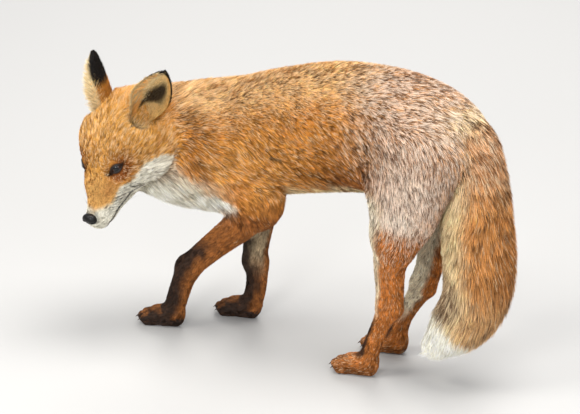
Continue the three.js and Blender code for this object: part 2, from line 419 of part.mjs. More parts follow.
// the brush lies in a seat of its own shape; the root of the tail is the end of the trunk, behind a plane just behind the hips
const ROOT_Z = 296, ROOT_AT = new THREE.Vector3(257, 0, 330), ROOT_N = new THREE.Vector3(1, 0, -0.12);
const tailSeat = skin((x, y, z) => tailField(x, y, z) - GAP - 0.9, [190, -110, 0], [380, 110, 400], CELL.tail)
  .intersect(block([150, -150, -10], [400, 150, ROOT_Z + HALF_GAP]));
const rootSeat = beyond(shifted(ROOT_AT, ROOT_N, -HALF_GAP), ROOT_N).intersect(block([150, -150, ROOT_Z - HALF_GAP], [400, 150, 500]));
const legTops = {};
for (const [key, leg] of Object.entries(LEGS)) {
  const kind = key.slice(0, 4), side = key.endsWith('_l') ? 'left' : 'right';
  let z0 = FLOOR_CUT;
  leg.levels.forEach((z1, i) => {
    const from = i === 3 && leg.top ? leg.top : leg.lo, to = leg.hi[i];
    const low = [from[0], from[1], i ? z0 + HALF_GAP : z0], high = [to[0], to[1], z1 - HALF_GAP];
    const c = legCells[i];
    // the surface is meshed a little past the cuts
    let m = skin(bodyField, low.map((v, k) => v - 2 * c[k]), high.map((v, k) => v + 2 * c[k]), c).intersect(block(low, high));
    if (i >= 2 && kind === 'hind') m = m.subtract(tailSeat);
    if (i === 0) for (const [, y1, x1] of TOES) {
      const root = pawPoint(key, x1 + 1.6, y1, 9.4), ahead = new THREE.Vector3().subVectors(V3(pawPoint(key, 30, y1 * 1.15, 0)), V3(pawPoint(key, 0, y1 * 0.95, 0))).toArray();
      m = m.subtract(claw(root, ahead, GAP));
    }
    addNode(`${kind}leg_${side}_${PARTS[kind][i]}`, largest(m), i === 0 ? (kind === 'hind' ? 'leg' : 'sock') : i === 1 && kind === 'fore' ? 'sock' : i === 3 && kind === 'hind' ? 'thigh' : 'leg');
    legBlocks.push(block([low[0], low[1], i ? z0 - 1 : z0 - 40], [to[0], to[1], z1 + HALF_GAP]));
    z0 = z1;
  });
  TOES.forEach(([, y1, x1], i) => {
    const root = pawPoint(key, x1 + 1.6, y1, 9.4), ahead = new THREE.Vector3().subVectors(V3(pawPoint(key, 30, y1 * 1.15, 0)), V3(pawPoint(key, 0, y1 * 0.95, 0))).toArray();
    addNode(`claw_${kind}_${side}_${i + 1}`, claw(root, ahead, 0), 'claw');
  });
}

// trunk: neck, chest, belly and hindquarters
const BREAST = new THREE.Vector3(-120, -18, 250), BREAST_N = new THREE.Vector3(-0.87, -0.49, 0);
const MID_X = 8, LOIN_X = 128;
const trunkSkin = (lo, hi, cell) => { let m = skin(bodyField, lo, hi, cell); for (const b of legBlocks) m = m.subtract(b); return m; };
const neck = skin(bodyField, [-300, -190, 130], [-60, 80, 380], CELL.neck)
  .intersect(beyond(shifted(BREAST, BREAST_N, HALF_GAP), BREAST_N))
  .subtract(beyond(shifted(NAPE, NAPE_N, HALF_GAP), NAPE_N.clone().negate()));
addNode('neck', largest(neck), 'neck');
const chest = trunkSkin([-200, -100, 130], [MID_X + 36, 100, 400], CELL.trunk)
  .subtract(beyond(shifted(BREAST, BREAST_N, -HALF_GAP), BREAST_N))
  .subtract(beyond(new THREE.Vector3(MID_X - HALF_GAP, 0, 0), new THREE.Vector3(1, 0, 0)));
addNode('chest', largest(chest), 'trunk');
const belly = trunkSkin([MID_X - 36, -110, 150], [LOIN_X + 36, 110, 430], CELL.trunk)
  .intersect(block([MID_X + HALF_GAP, -200, 100], [LOIN_X - HALF_GAP, 200, 500]));
addNode('belly', largest(belly), 'trunk');
const rump = trunkSkin([LOIN_X - 36, -120, 150], [330, 120, 430], CELL.trunk)
  .subtract(beyond(new THREE.Vector3(LOIN_X + HALF_GAP, 0, 0), new THREE.Vector3(-1, 0, 0))).subtract(tailSeat).subtract(rootSeat);
addNode('hindquarters', largest(rump), 'rump');

// tail in three lengths
const TIP_Z = 118;
const tail = skin(tailField, [190, -110, 0], [380, 110, 400], CELL.tail);
const root = skin(bodyField, [215, -110, 262], [340, 110, 420], CELL.root).intersect(beyond(shifted(ROOT_AT, ROOT_N, HALF_GAP), ROOT_N));
addNode('tail_root', largest(root.intersect(block([150, -150, ROOT_Z + HALF_GAP], [400, 150, 500]))), 'tail');
addNode('tail_brush', largest(tail.intersect(block([150, -150, TIP_Z + HALF_GAP], [400, 150, ROOT_Z - HALF_GAP]))), 'tail');
addNode('tail_tip', largest(tail.intersect(block([150, -150, -10], [400, 150, TIP_Z - HALF_GAP]))), 'tip');

// the origin is under the middle of the fox, on the floor
const box = new THREE.Box3().setFromObject(fox);
fox.position.set(-Math.round(500 * (box.min.x + box.max.x)) / 1000, -Math.round(500 * (box.min.y + box.max.y)) / 1000, 0);

export default fox;
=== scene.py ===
"""The looks of a red fox that stands with its head lowered and turned to its left: skin, coat, eyes, lids, nose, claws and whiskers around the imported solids."""

import math
import time

import bmesh
import bpy
import numpy as np
from mathutils import Matrix, Vector


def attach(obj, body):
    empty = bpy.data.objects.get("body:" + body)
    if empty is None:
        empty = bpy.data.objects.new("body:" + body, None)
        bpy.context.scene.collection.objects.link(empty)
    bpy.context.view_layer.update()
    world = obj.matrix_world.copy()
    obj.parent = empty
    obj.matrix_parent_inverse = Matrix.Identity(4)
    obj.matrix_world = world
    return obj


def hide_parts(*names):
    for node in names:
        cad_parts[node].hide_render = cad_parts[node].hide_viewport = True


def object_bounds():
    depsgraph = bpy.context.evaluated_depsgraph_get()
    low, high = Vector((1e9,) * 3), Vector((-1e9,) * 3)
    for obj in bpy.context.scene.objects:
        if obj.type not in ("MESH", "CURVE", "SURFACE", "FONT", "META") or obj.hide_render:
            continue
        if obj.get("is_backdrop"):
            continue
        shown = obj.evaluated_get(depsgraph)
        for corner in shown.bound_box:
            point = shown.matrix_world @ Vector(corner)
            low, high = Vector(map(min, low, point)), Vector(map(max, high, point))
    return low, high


T0 = time.perf_counter()
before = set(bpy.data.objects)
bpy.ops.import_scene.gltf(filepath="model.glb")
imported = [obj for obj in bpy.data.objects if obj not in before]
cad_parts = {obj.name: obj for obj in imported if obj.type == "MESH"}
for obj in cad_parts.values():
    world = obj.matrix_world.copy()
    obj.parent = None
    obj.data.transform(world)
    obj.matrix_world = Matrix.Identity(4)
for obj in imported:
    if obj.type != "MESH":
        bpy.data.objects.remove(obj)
CAD_BOX = [list(map(float, c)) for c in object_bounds()]
RNG = np.random.default_rng(20240917)


def tell(what):
    print(f"[{time.perf_counter() - T0:6.1f} s] {what}", flush=True)


# ---------------------------------------------------------------- shape of the body, in millimetres
# The tables are those of the solids; the skin lies inside them by the depth of the coat.
SHIFT = np.array([-34.875, 45.715, 0.0])          # from the frame of these tables to the frame of the model
F4 = np.float32
EYE_RADIUS = 9.5


def unit(v):
    v = np.asarray(v, float)
    return v / np.linalg.norm(v)


def rows_unit(V):
    return V / np.maximum(np.linalg.norm(V, axis=1), 1e-9)[:, None]


HEAD_ORIGIN = np.array([-201.1, -136.7, 245.2])
HF = unit([-0.019, -0.659, -0.752])
HL = np.array([0.980, -0.162, 0.117])
HL = unit(HL - HF * (HL @ HF))
HU = np.cross(HF, HL)
HEAD = np.stack([HF, HL, HU])


def head_point(a):
    return HEAD_ORIGIN + np.asarray(a, float) @ HEAD


def head_dir(a):
    return np.asarray(a, float) @ HEAD


def to_head(P):
    return (P - HEAD_ORIGIN) @ HEAD.T


TRUNK = [[276, 4, 345, 285, 26], [262, 4, 362, 262, 44], [232, 3, 382, 244, 60], [190, 2, 395, 236, 69], [140, 0, 401, 236, 69],
         [76, -2, 396, 226, 68], [0, -4, 374, 209, 68], [-60, -6, 352, 194, 68], [-112, -14, 334, 172, 62], [-146, -26, 320, 172, 54]]
NECK = [[-92, -10, 250, 60, 84, 76], [-132, -24, 248, 57, 86, 72], [-164, -42, 250, 52, 86, 67], [-190, -66, 258, 46, 80, 62]]
SKULL = [[-86, 0, -12, 48, 37, 42], [-64, 0, -12, 60, 41, 51], [-42, 0, -12, 62, 41, 55], [-20, 0, -13, 50.5, 36.5, 53], [0, 0, -16, 34, 28.5, 49], [14, 0, -19, 27, 23, 42]]
MUZZLE = [[-8, 0, -20, 27.5, 26, 44], [14, 0, -23, 25, 22.5, 40], [32, 0, -26, 21, 18.5, 33.5], [46, 0, -28, 18.5, 15.5, 28], [57, 0, -28, 15.5, 12.5, 22.5]]
RUFF = [[-8, 34, -34, 14, 14, 20], [-36, 44, -42, 19, 17, 25], [-64, 54, -42, 14, 13, 20]]
THIGH_L = [[212, -36, 312, 34, 50, 52], [207, -44, 268, 32, 50, 56], [200, -48, 228, 27, 42, 56], [186, -48, 190, 21, 27, 38]]
SHANK_L = [[190, -48, 196, 22, 26, 36], [180, -47, 160, 17, 20, 26], [178, -46, 128, 14, 19, 21], [177, -45, 102, 13, 19, 20]]
HOCK_L = [[178, -45, 100, 12, 16, 19], [168, -45, 78, 11, 10.5, 15], [156, -45, 50, 11, 10, 13.5], [148, -45, 26, 12, 11.5, 14]]
THIGH_R = [[212, 44, 312, 34, 50, 52], [210, 50, 268, 32, 50, 56], [206, 52, 228, 27, 42, 50], [196, 50, 190, 21, 27, 34]]
SHANK_R = [[200, 50, 196, 22, 26, 36], [190, 47, 160, 17, 20, 26], [184, 44, 128, 14, 18, 20], [176, 42, 100, 13, 18, 20]]
HOCK_R = [[176, 42, 98, 12, 15.5, 18], [164, 40, 76, 11, 11.5, 15], [150, 38, 50, 11, 10.5, 13.5], [143, 36, 26, 12, 11.5, 14]]
UPPER_L = [[-92, -40, 262, 26, 52, 48], [-70, -46, 232, 26, 50, 44], [-34, -46, 206, 22, 42, 36], [-8, -44, 196, 18, 26, 28]]
FOREARM_L = [[-8, -44, 203, 18, 22, 24], [-44, -45, 168, 16, 21, 22], [-84, -46, 132, 14, 18, 19], [-120, -46, 98, 13, 16, 17], [-130, -46, 88, 13, 15, 16]]
PASTERN_L = [[-128, -46, 92, 13, 17, 16], [-139, -45, 68, 12.5, 16.5, 14], [-149, -43, 42, 12.5, 16, 13.5], [-155, -42, 24, 13, 15, 14]]
UPPER_R = [[-92, 28, 262, 26, 52, 48], [-84, 34, 226, 26, 46, 42], [-66, 36, 196, 22, 34, 34], [-56, 36, 180, 18, 24, 24]]
FOREARM_R = [[-60, 36, 186, 19, 24, 26], [-66, 36, 150, 16, 20, 23], [-72, 36, 114, 14, 17, 21], [-78, 36, 80, 13, 16, 18]]
PASTERN_R = [[-73, 36, 82, 13, 16, 17.5], [-73, 36, 60, 12.5, 14, 16], [-76, 36, 40, 12.5, 14, 15], [-82, 36, 24, 13, 15, 14]]
TAIL = [[254, 4, 342, 30, 26, 26], [268, 4, 312, 36, 34, 34], [273, 3, 272, 42, 41, 42], [275, 1, 228, 46, 47, 48], [278, -2, 184, 47, 51, 46],
        [279, -6, 140, 47, 50, 43], [272, -12, 106, 44, 45, 42], [255, -18, 76, 37, 35, 39], [235, -24, 54, 20, 19, 22]]
PAWS = {"hind_l": (132, -45, 0, True), "hind_r": (128, 36, 4, True), "fore_l": (-168, -42, 6, False), "fore_r": (-98, 36, 0, False)}
TOES = [(-9, -14.5, 23, 6.4), (-4.2, -6, 31, 7), (4.2, 6, 31, 7), (9, 14.5, 23, 6.4)]


def spline(rows, steps):
    """A Catmull-Rom curve through the rows, steps points to a span."""
    P = np.asarray(rows, float)
    Q = np.vstack([2 * P[0] - P[1], P, 2 * P[-1] - P[-2]])
    out = []
    for i in range(len(P) - 1):
        a, b, c, d = Q[i:i + 4]
        for t in np.arange(steps) / steps:
            out.append(0.5 * (2 * b + (c - a) * t + (2 * a - 5 * b + 4 * c - d) * t * t + (3 * b - 3 * c + d - a) * t ** 3))
    return np.array(out + [P[-1]])


EARS = [
    dict(side=1, base=(-80, 40, 8), tip=(-0.506, 0.643, 0.561), open=(0.864, 0.398, 0.308), hollow=(1, -3, 6)),
    dict(side=-1, base=(-80, -35, 12), tip=(-0.588, 0.108, 0.798), open=(0.468, -0.84, -0.086), hollow=(0, -2, 1)),
]
for e in EARS:
    e["D"] = unit(head_dir(e["tip"]))
    o = head_dir(e["open"])
    e["O"] = unit(o - e["D"] * (o @ e["D"]))
    e["W"] = np.cross(e["D"], e["O"]) * e["side"]
    e["B"] = head_point(e["base"])
    e["axes"] = np.stack([e["W"], e["D"], e["O"]], 1).astype(F4)
HOLLOW = np.array([16.0, 14.0, 18.0])          # across, up and out of the opening


def hollow(X):
    """Distance, about, to the hollows of the head that the ears open into."""
    out = np.full(len(X), 1e3, F4)
    for e in EARS:
        q = (X - e["B"].astype(F4)) @ e["axes"] - np.array(e["hollow"], F4)
        out = np.minimum(out, (np.sqrt(((q / HOLLOW.astype(F4)) ** 2).sum(1)) - 1) * 14)
    return out


GROUPS = ["trunk", "neck", "head", "muzzle", "ruff", "thigh", "shank", "hock", "upper", "forearm", "pastern", "paw", "tail"]
G = {g: i for i, g in enumerate(GROUPS)}


class Loft:
    """One limb: a spine with a section that changes along it, which way its hair runs, and how deep and long the coat is."""

    def __init__(self, name, group, rows, side, blend, coat, caps=(1, 1), steps=4, head=False, flow=1):
        self.name, self.group, self.blend, self.caps, self.flow = name, G[group], blend, caps, flow
        R = spline(rows, steps)
        P, side = R[:, :3], np.asarray(side, float)
        if head:
            P, side = head_point(P), head_dir(side)
        T = rows_unit(np.gradient(P, axis=0))
        L = rows_unit(side - (T @ side)[:, None] * T)
        self.P, self.T, self.L, self.U, self.S = (a.astype(F4) for a in (P, T, L, np.cross(T, L), R[:, 3:6]))
        self.n = len(P) - 1
        reach = self.S.max() + 41
        self.lo, self.hi = self.P.min(0) - reach, self.P.max(0) + reach
        self.mid = self.P.mean(0)
        c = np.asarray(coat, float)
        k = np.linspace(0, len(c) - 1, len(P))
        self.C = np.stack([np.interp(k, np.arange(len(c)), c[:, i]) for i in (0, 1)], 1).astype(F4)
        step = np.linalg.norm(np.diff(P, axis=0), axis=1)
        self.arc = np.concatenate([[0], np.cumsum(step)])
        self.around = float((2 * np.pi * np.sqrt((self.S[:, 0] ** 2 + self.S[:, 1:].mean(1) ** 2) / 2)).mean())

    def query(self, X):
        Y, P = X - self.mid, self.P - self.mid
        A, B = P[:-1], P[1:] - P[:-1]
        YP = Y @ P.T
        BB = (B * B).sum(1)
        QB = YP[:, 1:] - YP[:, :-1] - (A * B).sum(1)
        h = np.clip(QB / BB, 0, 1)
        dd = h * (h * BB - 2 * QB) - 2 * YP[:, :-1] + (A * A).sum(1)
        i = dd.argmin(1)
        f = np.take_along_axis(h, i[:, None], 1)
        mix = lambda M: M[i] * (1 - f) + M[i + 1] * f
        q, T = Y - mix(P), mix(self.T)
        a, b, s = (q * mix(self.L)).sum(1), (q * mix(self.U)).sum(1), (q * T).sum(1)
        S, f = mix(self.S), f[:, 0]
        w, h2 = S[:, 0], np.where(b > 0, S[:, 1], S[:, 2])
        first, last = i + f <= 1e-6, i + f >= self.n - 1e-6
        m = np.minimum(w, h2)
        c = np.where(first, self.caps[0], self.caps[1]) * m
        s = np.where(first | last, s, 0)
        k0 = np.sqrt((a / w) ** 2 + (b / h2) ** 2 + (s / c) ** 2)
        k1 = np.sqrt((a / w ** 2) ** 2 + (b / h2 ** 2) ** 2 + (s / c ** 2) ** 2)
        d = np.where(k0 < 0.25, (k0 - 1) * m, k0 * (k0 - 1) / np.maximum(k1, 1e-9))
        return d, i + f, T, a / w, b / h2


Y1 = [0, 1, 0]
mirrored = lambda rows: [[r[0], -r[1], *r[2:]] for r in rows]
LOFTS = [
    Loft("trunk", "trunk", [[x, y, (t + b) / 2, w, (t - b) / 2, (t - b) / 2] for x, y, t, b, w in TRUNK], Y1, 10,
         [(8, 14), (8, 14), (8, 14), (8, 14.5), (8.5, 15), (9.5, 17), (11, 20), (13, 25)], (0.8, 0.9), flow=-1),
    Loft("neck", "neck", NECK, [0.54, -0.85, 0], 30, [(12, 24), (12.5, 25), (12, 24), (10, 21)], (1, 0.7), flow=-1),
    Loft("skull", "head", SKULL, Y1, 24, [(9, 20), (7, 15), (4.5, 11), (3.2, 8), (2.4, 6.2), (2.0, 5.4)], (0.8, 0.8), head=True, flow=-1),
    Loft("muzzle", "muzzle", MUZZLE, Y1, 16, [(2.4, 6.5), (2.0, 5.5), (1.7, 5), (1.4, 4.2), (1.2, 3.6)], (0.8, 1), head=True, flow=-1),
    Loft("ruff_l", "ruff", RUFF, Y1, 18, [(5, 12), (9, 21), (11, 30)], head=True),
    Loft("ruff_r", "ruff", mirrored(RUFF), Y1, 18, [(5, 12), (9, 21), (11, 30)], head=True),
]
for side, T_, S_, H_, U_, A_, P_ in (("l", THIGH_L, SHANK_L, HOCK_L, UPPER_L, FOREARM_L, PASTERN_L), ("r", THIGH_R, SHANK_R, HOCK_R, UPPER_R, FOREARM_R, PASTERN_R)):
    LOFTS += [
        Loft("thigh_" + side, "thigh", T_, Y1, 30, [(8, 14), (7.5, 13), (6, 12), (5, 10)]),
        Loft("shank_" + side, "shank", S_, Y1, 14, [(6, 15), (4.4, 12), (3.2, 10), (2.8, 8.5)]),
        Loft("hock_" + side, "hock", H_, Y1, 8, [(2.7, 8), (2.4, 7.5), (2.4, 7), (2.2, 6.5)]),
        Loft("upper_" + side, "upper", U_, Y1, 26, [(11, 21), (9, 19), (7, 15), (4.5, 11)]),
        Loft("forearm_" + side, "forearm", A_, Y1, 16, [(5, 13), (3.6, 11), (3, 9), (2.6, 8), (2.5, 8)]),
        Loft("pastern_" + side, "pastern", P_, Y1, 10, [(2.5, 8), (2.4, 7), (2.2, 6.5)]),
    ]


def paw_point(key, ahead, across, up):
    cx, cy, heading, _ = PAWS[key]
    a = math.radians(heading)
    return [cx - math.cos(a) * ahead + math.sin(a) * across, cy - math.sin(a) * ahead - math.cos(a) * across, up]


for key, (_, _, heading, hind) in PAWS.items():
    a = math.radians(heading)
    side, w = [math.sin(a), -math.cos(a), 0], 16 if hind else 17
    LOFTS.append(Loft("pad_" + key, "paw", [[*paw_point(key, -17, 0, 15), 11, 12, 15.2], [*paw_point(key, 0, 0, 15), w, 13, 17], [*paw_point(key, 13, 0, 14), w - 1, 11, 15.4]],
                      side, 9, [(2, 6.5), (1.8, 6), (1.6, 5.5)]))
    for y0, y1, x1, r in TOES:
        LOFTS.append(Loft("toe_" + key, "paw", [[*paw_point(key, 8, y0, 12), 6, 6.5, 12.6], [*paw_point(key, x1 * 0.62, (y0 + y1) / 2, 12.5), r, 7.2, 13.4],
                          [*paw_point(key, x1, y1, 9), r * 0.93, 6.8, 9.8]], side, 3.2, [(1.5, 5.5), (1.4, 5), (1.3, 4.5)], steps=3))
LOFTS.append(Loft("tail", "tail", TAIL, Y1, 12, [(9, 18), (13, 24), (15, 27), (16, 28), (16, 28), (16, 29), (15, 31), (12, 30), (7, 24)], (0.8, 1.1)))
NL = len(LOFTS)


def smin(a, b, k):
    h = np.maximum(k - np.abs(a - b), 0) / k
    return np.minimum(a, b) - h * h * k * 0.25


def body(X):
    """Distance to the outer form, negative inside."""
    X = np.asarray(X, F4)
    d = np.full(len(X), 1e3, F4)
    for l in LOFTS:
        m = np.flatnonzero(((X > l.lo) & (X < l.hi)).all(1))
        if len(m):
            d[m] = smin(d[m], l.query(X[m])[0], l.blend)
    return hollowed(X, d)


def hollowed(X, d):
    m = np.flatnonzero((X[:, 2] > 250) & (X[:, 0] < -90) & (X[:, 1] < -20))
    if len(m):
        d[m] = -smin(-d[m], hollow(X[m]), 5.0)
    return d


def survey(X, full=False):
    """Distance, coat depth, and when asked the coat length, the way the hair runs, and how much each group has a part in each point."""
    X = np.asarray(X, F4)
    N = len(X)
    d, W, D = np.full(N, 1e3, F4), np.full(N, 1e-12, F4), np.full(N, 5e-12, F4)
    if full:
        L, flow, share = np.zeros(N, F4), np.zeros((N, 3), F4), np.zeros((N, len(GROUPS)), F4)
        best, who, arc, ang = np.full(N, 1e9, F4), np.zeros(N, int), np.zeros(N, F4), np.zeros(N, F4)
    for k, l in enumerate(LOFTS):
        m = np.flatnonzero(((X > l.lo) & (X < l.hi)).all(1))
        if not len(m):
            continue
        dl, t, T, a, b = l.query(X[m])
        d[m] = smin(d[m], dl, l.blend)
        w = np.exp(-np.clip(dl, -30, 60) / 6)
        i = np.minimum(t.astype(int), l.n - 1)
        f = (t - i)[:, None]
        C = l.C[i] * (1 - f) + l.C[i + 1] * f
        W[m] += w
        D[m] += w * C[:, 0]
        if full:
            L[m] += w * C[:, 1]
            flow[m] += w[:, None] * l.flow * T
            share[m, l.group] += w
            g = dl < best[m]
            j = m[g]
            best[j], who[j], ang[j] = dl[g], k, np.arctan2(b[g], a[g])
            arc[j] = np.interp(t[g], np.arange(l.n + 1), l.arc / l.arc[-1])
    depth = D / W
    d = hollowed(X, d)
    near_ear = np.zeros(N, F4)
    m = np.flatnonzero((X[:, 2] > 250) & (X[:, 0] < -90) & (X[:, 1] < -20))
    if len(m):
        near_ear[m] = np.clip(1.3 - np.maximum(hollow(X[m]), 0) / 5, 0, 1)
        depth = depth * (1 - near_ear) + 2.0 * near_ear
    # the soles and the floor
    sole = share_of_paw(X)
    depth = depth * (1 - sole) + 0.25 * sole
    if not full:
        return d, depth
    return d, depth, L / W * (1 - 0.35 * near_ear), flow / W[:, None], share / W[:, None], who, arc, ang


def share_of_paw(X):
    return np.clip((5.0 - X[:, 2]) / 4.0, 0, 1).astype(F4)


# the eyes: centre, the way each looks, and its axes along and across the lids
EYE_OUT = unit([0.55, 0.65, 0.53])
EYE_SINK = 0.8
EYES = []
for sgn in (1, -1):
    n = unit([0.55, sgn * 0.65, 0.53])
    # from the inner corner, low and in front, to the outer one
    u = np.array([-0.737, sgn * 0.669, -0.093])
    u = unit(u - n * (u @ n))
    v = np.cross(n, u) * sgn
    v = v if v[2] > 0 else -v
    c = np.array([-3.8, sgn * 25.3, -2.2]) - n * EYE_SINK
    EYES.append(dict(side=sgn, c=head_point(c), n=head_dir(n), u=head_dir(u), v=head_dir(v)))
LID_HALF, LID_UP, LID_DOWN = 9.1, 4.7, 4.0


def lid_gap(a, b):
    """Less than 0 inside the opening between the lids; a runs to the outer corner, b up."""
    s = np.clip(1 - (a / LID_HALF) ** 2, 0, 1) ** 0.85
    g = np.where(b > 0, b - LID_UP * s, -b - LID_DOWN * s)
    return np.maximum(g * 0.85, np.abs(a) - LID_HALF)


NOSE_AT, NOSE_RADII = np.array([66.0, 0, -19.0]), np.array([7.0, 10.5, 8.5])


def mouth_z(x):
    """Height of the mouth line in the head's own axes; it turns up a little at its corner."""
    return -39 - 0.07 * (x - 13) + 3.0 * np.clip((10 - x) / 16, 0, 1) ** 2


def skin_field(X, detail=False):
    X = np.asarray(X, F4)
    d, depth = survey(X)
    f = d + depth
    f = np.maximum(f, 0.2 - X[:, 2])
    h = to_head(X).astype(F4)
    near = np.flatnonzero((h[:, 0] > -45) & (h[:, 0] < 90) & (np.abs(h[:, 1]) < 60) & (np.abs(h[:, 2] + 15) < 60))
    if len(near):
        q, g = h[near], f[near]
        Xn = X[near]
        for e in EYES:
            r = Xn - e["c"].astype(F4)
            a, b, n = r @ e["u"].astype(F4), r @ e["v"].astype(F4), r @ e["n"].astype(F4)
            dist = np.sqrt((r * r).sum(1))
            # brow above the eye, and the ball's own lids
            g = g - 1.7 * np.exp(-(((a - 1) / 9) ** 2 + ((b - 9.5) / 4.5) ** 2 + ((n - 6) / 9) ** 2))
            g = g + 1.3 * np.exp(-(((a + 13) / 5) ** 2 + ((b + 3) / 4) ** 2 + ((n - 3) / 8) ** 2))
            if detail:
                lid = dist - (EYE_RADIUS + 1.3)
                g = smin(g, np.where(n > 0, lid, 50), 4.0)
                gap = lid_gap(a, b)
                g = np.where(n > 1.5, np.maximum(g, -np.maximum(gap, 1.5 - n)), g)
            else:
                g = smin(g, np.where(n > 0, dist - (EYE_RADIUS + 0.6), 50), 4.0)
        # the mouth line
        if detail:
            x, z = q[:, 0], q[:, 2]
            line = np.abs(z - mouth_z(x)) / 1.1
            on = np.clip((x + 4) / 6, 0, 1) * np.clip((66 - x) / 5, 0, 1)
            g = g + 1.5 * on * np.exp(-line ** 2)
        f[near] = g
    return f


def gradient(field, X, h=0.5):
    X = np.asarray(X, F4)
    f0 = field(X)
    g = np.stack([field(X + np.eye(3, dtype=F4)[k] * h) - f0 for k in range(3)], 1) / h
    return f0, g


# ---------------------------------------------------------------- noise
def noise(P, scale, seed):
    """Smooth value noise, -1 to 1."""
    Q = np.asarray(P, float) / scale + 1000.3 * (1 + seed % 7)
    I = np.floor(Q).astype(np.int64)
    T = Q - I
    T = T * T * (3 - 2 * T)
    out = np.zeros(len(Q))
    for c in range(8):
        o = np.array([c & 1, (c >> 1) & 1, c >> 2])
        J = I + o
        h = (J[:, 0] * 73856093) ^ (J[:, 1] * 19349663) ^ (J[:, 2] * 83492791) ^ (seed * 2654435761)
        h = (h ^ (h >> 13)) * 1274126177
        h = (h ^ (h >> 16)) & 0xFFFF
        w = np.prod(np.where(o, T, 1 - T), axis=1)
        out += w * (h / 32767.5 - 1)
    return out


def ramp(x, a, b):
    t = np.clip((x - a) / (b - a), 0, 1)
    return t * t * (3 - 2 * t)


def rgb(r, g, b):
    c = np.array([r, g, b]) / 255.0
    return np.where(c <= 0.04045, c / 12.92, ((c + 0.055) / 1.055) ** 2.4)
# ---------------------------------------------------------------- markings, the same for skin and coat
ORANGE, TAWNY, REDDISH = rgb(208, 139, 58), rgb(222, 165, 84), rgb(192, 112, 42)
PALE, STRAW, BROWN = rgb(243, 216, 174), rgb(214, 176, 110), rgb(92, 56, 32)
SILVER, GREYBROWN = rgb(246, 230, 212), rgb(178, 138, 112)
CREAM, WHITE, GREY = rgb(236, 218, 174), rgb(248, 243, 226), rgb(172, 160, 134)
RUST, DEEP, BLACK = rgb(186, 110, 44), rgb(150, 84, 28), rgb(22, 18, 16)
BUFF, SOOT = rgb(238, 210, 160), rgb(38, 27, 20)


def lay(C, colour, w):
    """colour over C, by weight w."""
    return C * (1 - w[:, None]) + np.asarray(colour) * w[:, None]


def bump3(P, c, r):
    return np.exp(-(((P - np.array(c)) / np.array(r)) ** 2).sum(1))


